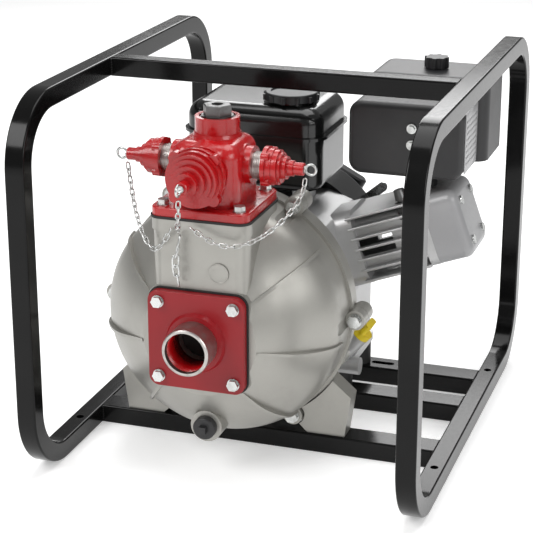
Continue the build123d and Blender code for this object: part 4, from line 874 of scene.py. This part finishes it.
@dataclass
class CastDisc:
    """Plain raised disc on the front casing, above the suction flange."""

    centre_x: float = -14.0
    centre_z: float = 283.0
    radius: float = 13.0
    height: float = 3.0
    rim_width: float = 1.1
    step_width: float = 0.5
    step_depth: float = 0.45
    edge: float = 0.35
    lift: float = 0.3
    in_front: float = -500.0

    def build(self, workshop: Workshop) -> None:
        """Makes a low disc with a bevelled rim and a sunk middle.

        Args:
            workshop: gives the disc its finish.
        """
        deselect()
        bpy.ops.mesh.primitive_cylinder_add(vertices=72, radius=self.radius * MM, depth=self.height * MM)
        disc = bpy.context.active_object
        bpy.ops.object.mode_set(mode="EDIT")
        bpy.ops.mesh.select_all(action="DESELECT")
        bpy.ops.object.mode_set(mode="OBJECT")
        for face in disc.data.polygons:
            face.select = face.normal.z > FACES_UP
        bpy.ops.object.mode_set(mode="EDIT")
        bpy.ops.mesh.select_mode(type="FACE")
        bpy.ops.mesh.inset(thickness=self.rim_width * MM, depth=0.0)
        bpy.ops.mesh.inset(thickness=self.step_width * MM, depth=-self.step_depth * MM)
        bpy.ops.object.mode_set(mode="OBJECT")
        rounding = disc.modifiers.new("rim", "BEVEL")
        rounding.width = self.edge * MM
        rounding.segments = 2
        rounding.limit_method = "ANGLE"
        bpy.ops.object.modifier_apply(modifier="rim")
        place, normal = self._seat()
        disc.data.transform(Matrix.Translation(place + normal * self.lift * MM) @ turn_to(normal))
        disc.name = "cast_disc"
        bpy.ops.object.shade_smooth_by_angle(angle=SMOOTH_ANGLE)
        workshop.dress(disc, Finish.CASTING)
        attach(disc, "unit")
        LOG.info("cast disc")

    def _seat(self) -> tuple[Vector, Vector]:
        """Finds the casing's surface behind the disc's centre.

        Returns:
            The place and the outward direction there.
        """
        casing = frame["nodes"]["front_casing"]
        inside = casing.matrix_world.inverted()
        start = inside @ (Vector((self.centre_x, self.in_front, self.centre_z)) * MM)
        _, place, normal, _ = casing.ray_cast(start, inside.to_3x3() @ Vector((0, 1, 0)))
        return casing.matrix_world @ place, (casing.matrix_world.to_3x3() @ normal).normalized()


@dataclass
class GuardGrille:
    """Pressed grey grille on the outer side of the exhaust guard."""

    thickness: float = 1.2
    margin: float = 9.0
    hole_radius: float = 2.1
    pitch: float = 8.0
    edge: float = 0.4
    drill_length: float = 20.0

    def build(self, workshop: Workshop) -> None:
        """Cuts a grid of holes through a rounded sheet and fixes it to the guard.

        Args:
            workshop: gives the grille its finish.
        """
        low, high = (Vector(corner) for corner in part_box("muffler_guard"))
        width = high.y - low.y - 2 * self.margin * MM
        height = high.z - low.z - 2 * self.margin * MM
        centre = Vector((high.x + self.thickness / 2 * MM, (low.y + high.y) / 2, (low.z + high.z) / 2))
        deselect()
        bpy.ops.mesh.primitive_cube_add(size=1.0)
        sheet = bpy.context.active_object
        sheet.scale = (self.thickness * MM, width, height)
        settle(sheet)
        rounding = sheet.modifiers.new("corners", "BEVEL")
        rounding.width = self.edge * MM
        rounding.segments = 2
        bpy.ops.object.modifier_apply(modifier="corners")
        cutter = self._drills(width, height)
        cut = sheet.modifiers.new("holes", "BOOLEAN")
        cut.operation = "DIFFERENCE"
        cut.solver = "EXACT"
        cut.object = cutter
        pick(sheet)
        bpy.ops.object.modifier_apply(modifier="holes")
        discard(cutter)
        sheet.data.transform(Matrix.Translation(centre))
        sheet.name = "guard_grille"
        bpy.ops.object.shade_smooth_by_angle(angle=SMOOTH_ANGLE)
        workshop.dress(sheet, Finish.GREY)
        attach(sheet, "unit")
        LOG.info("guard grille")

    def _drills(self, width: float, height: float) -> bpy.types.Object:
        """Sets cylinders along X on a grid, one per hole.

        Args:
            width: the sheet's size along Y.
            height: the sheet's size along Z.

        Returns:
            The joined cylinders.
        """
        across = int(width / MM / self.pitch - 1)
        up = int(height / MM / self.pitch - 1)
        deselect()
        bpy.ops.mesh.primitive_cylinder_add(vertices=20, radius=self.hole_radius * MM,
                                            depth=self.drill_length * MM, rotation=(0, math.pi / 2, 0))
        template = bpy.context.active_object
        settle(template)
        drills = []
        for column in range(across):
            for row in range(up):
                y = (column - (across - 1) / 2) * self.pitch * MM
                z = (row - (up - 1) / 2) * self.pitch * MM
                drills.append(place_copy(template, Matrix.Translation((0, y, z))))
        discard(template)
        return join(drills, "drills")


# ------------------------------------------------------------------ studio
@dataclass
class Studio:
    """Pale floor, soft light and the camera, in metres and degrees."""

    floor_size: float = 14.0
    floor_colour: Colour = (0.86, 0.86, 0.86)
    floor_shade: Colour = (0.82, 0.82, 0.82)
    floor_clouding: float = 0.2
    floor_roughness: float = 0.65
    floor_glow: float = 0.35
    surround: float = 0.30
    backdrop_white: float = 1.0
    camera_place: Point = (0.66055, -2.07527, 0.9712)
    azimuth: float = 18.54
    elevation: float = 19.22
    lens: float = 114.32
    sensor_width: float = 36.0
    lamp_aim: Point = (0.0, 0.0, 0.25)
    lamps: Sequence[tuple[str, Point, float, float]] = field(default_factory=lambda: (
        ("key_light", (-1.9, -2.2, 2.6), 1.8, 75.0),
        ("fill_light", (2.4, -1.5, 1.5), 1.6, 34.0),
        ("top_light", (0.2, 0.4, 2.9), 2.2, 50.0),
        ("rim_light", (-0.6, 2.6, 1.9), 1.5, 32.0),
    ))

    def build(self) -> None:
        """Makes the floor, the lamps, the world and the camera."""
        bpy.context.scene.view_settings.view_transform = "Standard"
        self._floor()
        self._world()
        for name, place, size, power in self.lamps:
            lamp = bpy.data.lights.new(name, "AREA")
            lamp.shape = "SQUARE"
            lamp.size = size
            lamp.energy = power
            holder = bpy.data.objects.new(name, lamp)
            holder.location = place
            aim = Vector(self.lamp_aim) - Vector(place)
            holder.rotation_euler = aim.to_track_quat("-Z", "Y").to_euler()
            bpy.context.collection.objects.link(holder)
        self._camera()

    def _floor(self) -> None:
        """Large pale sheet under the frame."""
        deselect()
        bpy.ops.mesh.primitive_plane_add(size=self.floor_size)
        floor = bpy.context.active_object
        floor.name = "floor"
        shader = Shader("floor_white")
        cloud = shader.noise(scale=3.0, detail=3.0)
        colour = shader.mix(cloud * self.floor_clouding, self.floor_colour, self.floor_shade)
        shader.dress(Base_Color=colour, Roughness=self.floor_roughness,
                     Emission_Color=(1.0, 1.0, 1.0, 1.0), Emission_Strength=self.floor_glow)
        floor.data.materials.append(shader.material)

    def _world(self) -> None:
        """Even surround, white where it is seen and dimmer where it lights."""
        world = bpy.data.worlds.new("studio_world")
        world.use_nodes = True
        tree = world.node_tree
        backdrop = tree.nodes["Background"]
        backdrop.inputs["Color"].default_value = (1.0, 1.0, 1.0, 1.0)
        seen = tree.nodes.new("ShaderNodeLightPath").outputs["Is Camera Ray"]
        strength = Socket(tree, seen) * (self.backdrop_white - self.surround) + self.surround
        tree.links.new(strength.link, backdrop.inputs["Strength"])
        bpy.context.scene.world = world

    def _camera(self) -> None:
        """Camera at its place, looking along its azimuth and elevation."""
        azimuth = math.radians(self.azimuth)
        elevation = math.radians(self.elevation)
        look = Vector((-math.sin(azimuth) * math.cos(elevation), math.cos(azimuth) * math.cos(elevation),
                       -math.sin(elevation)))
        camera = bpy.data.cameras.new("camera")
        camera.lens = self.lens
        camera.sensor_width = self.sensor_width
        holder = bpy.data.objects.new("camera", camera)
        holder.location = self.camera_place
        holder.rotation_euler = look.to_track_quat("-Z", "Y").to_euler()
        bpy.context.collection.objects.link(holder)
        bpy.context.scene.camera = holder


def main() -> None:
    """Dresses the CAD nodes, builds every added piece and sets the studio."""
    logging.basicConfig(level=logging.INFO, format="%(name)s: %(message)s")
    workshop = Workshop()
    workshop.dress_nodes()
    for chain in CHAINS:
        chain.build(workshop)
    for thread in THREADS:
        thread.build(workshop)
    WeldBeads().build(workshop)
    InletPaint().build(workshop)
    CastDisc().build(workshop)
    GuardGrille().build(workshop)
    Studio().build()


if __name__ == "__main__":
    main()
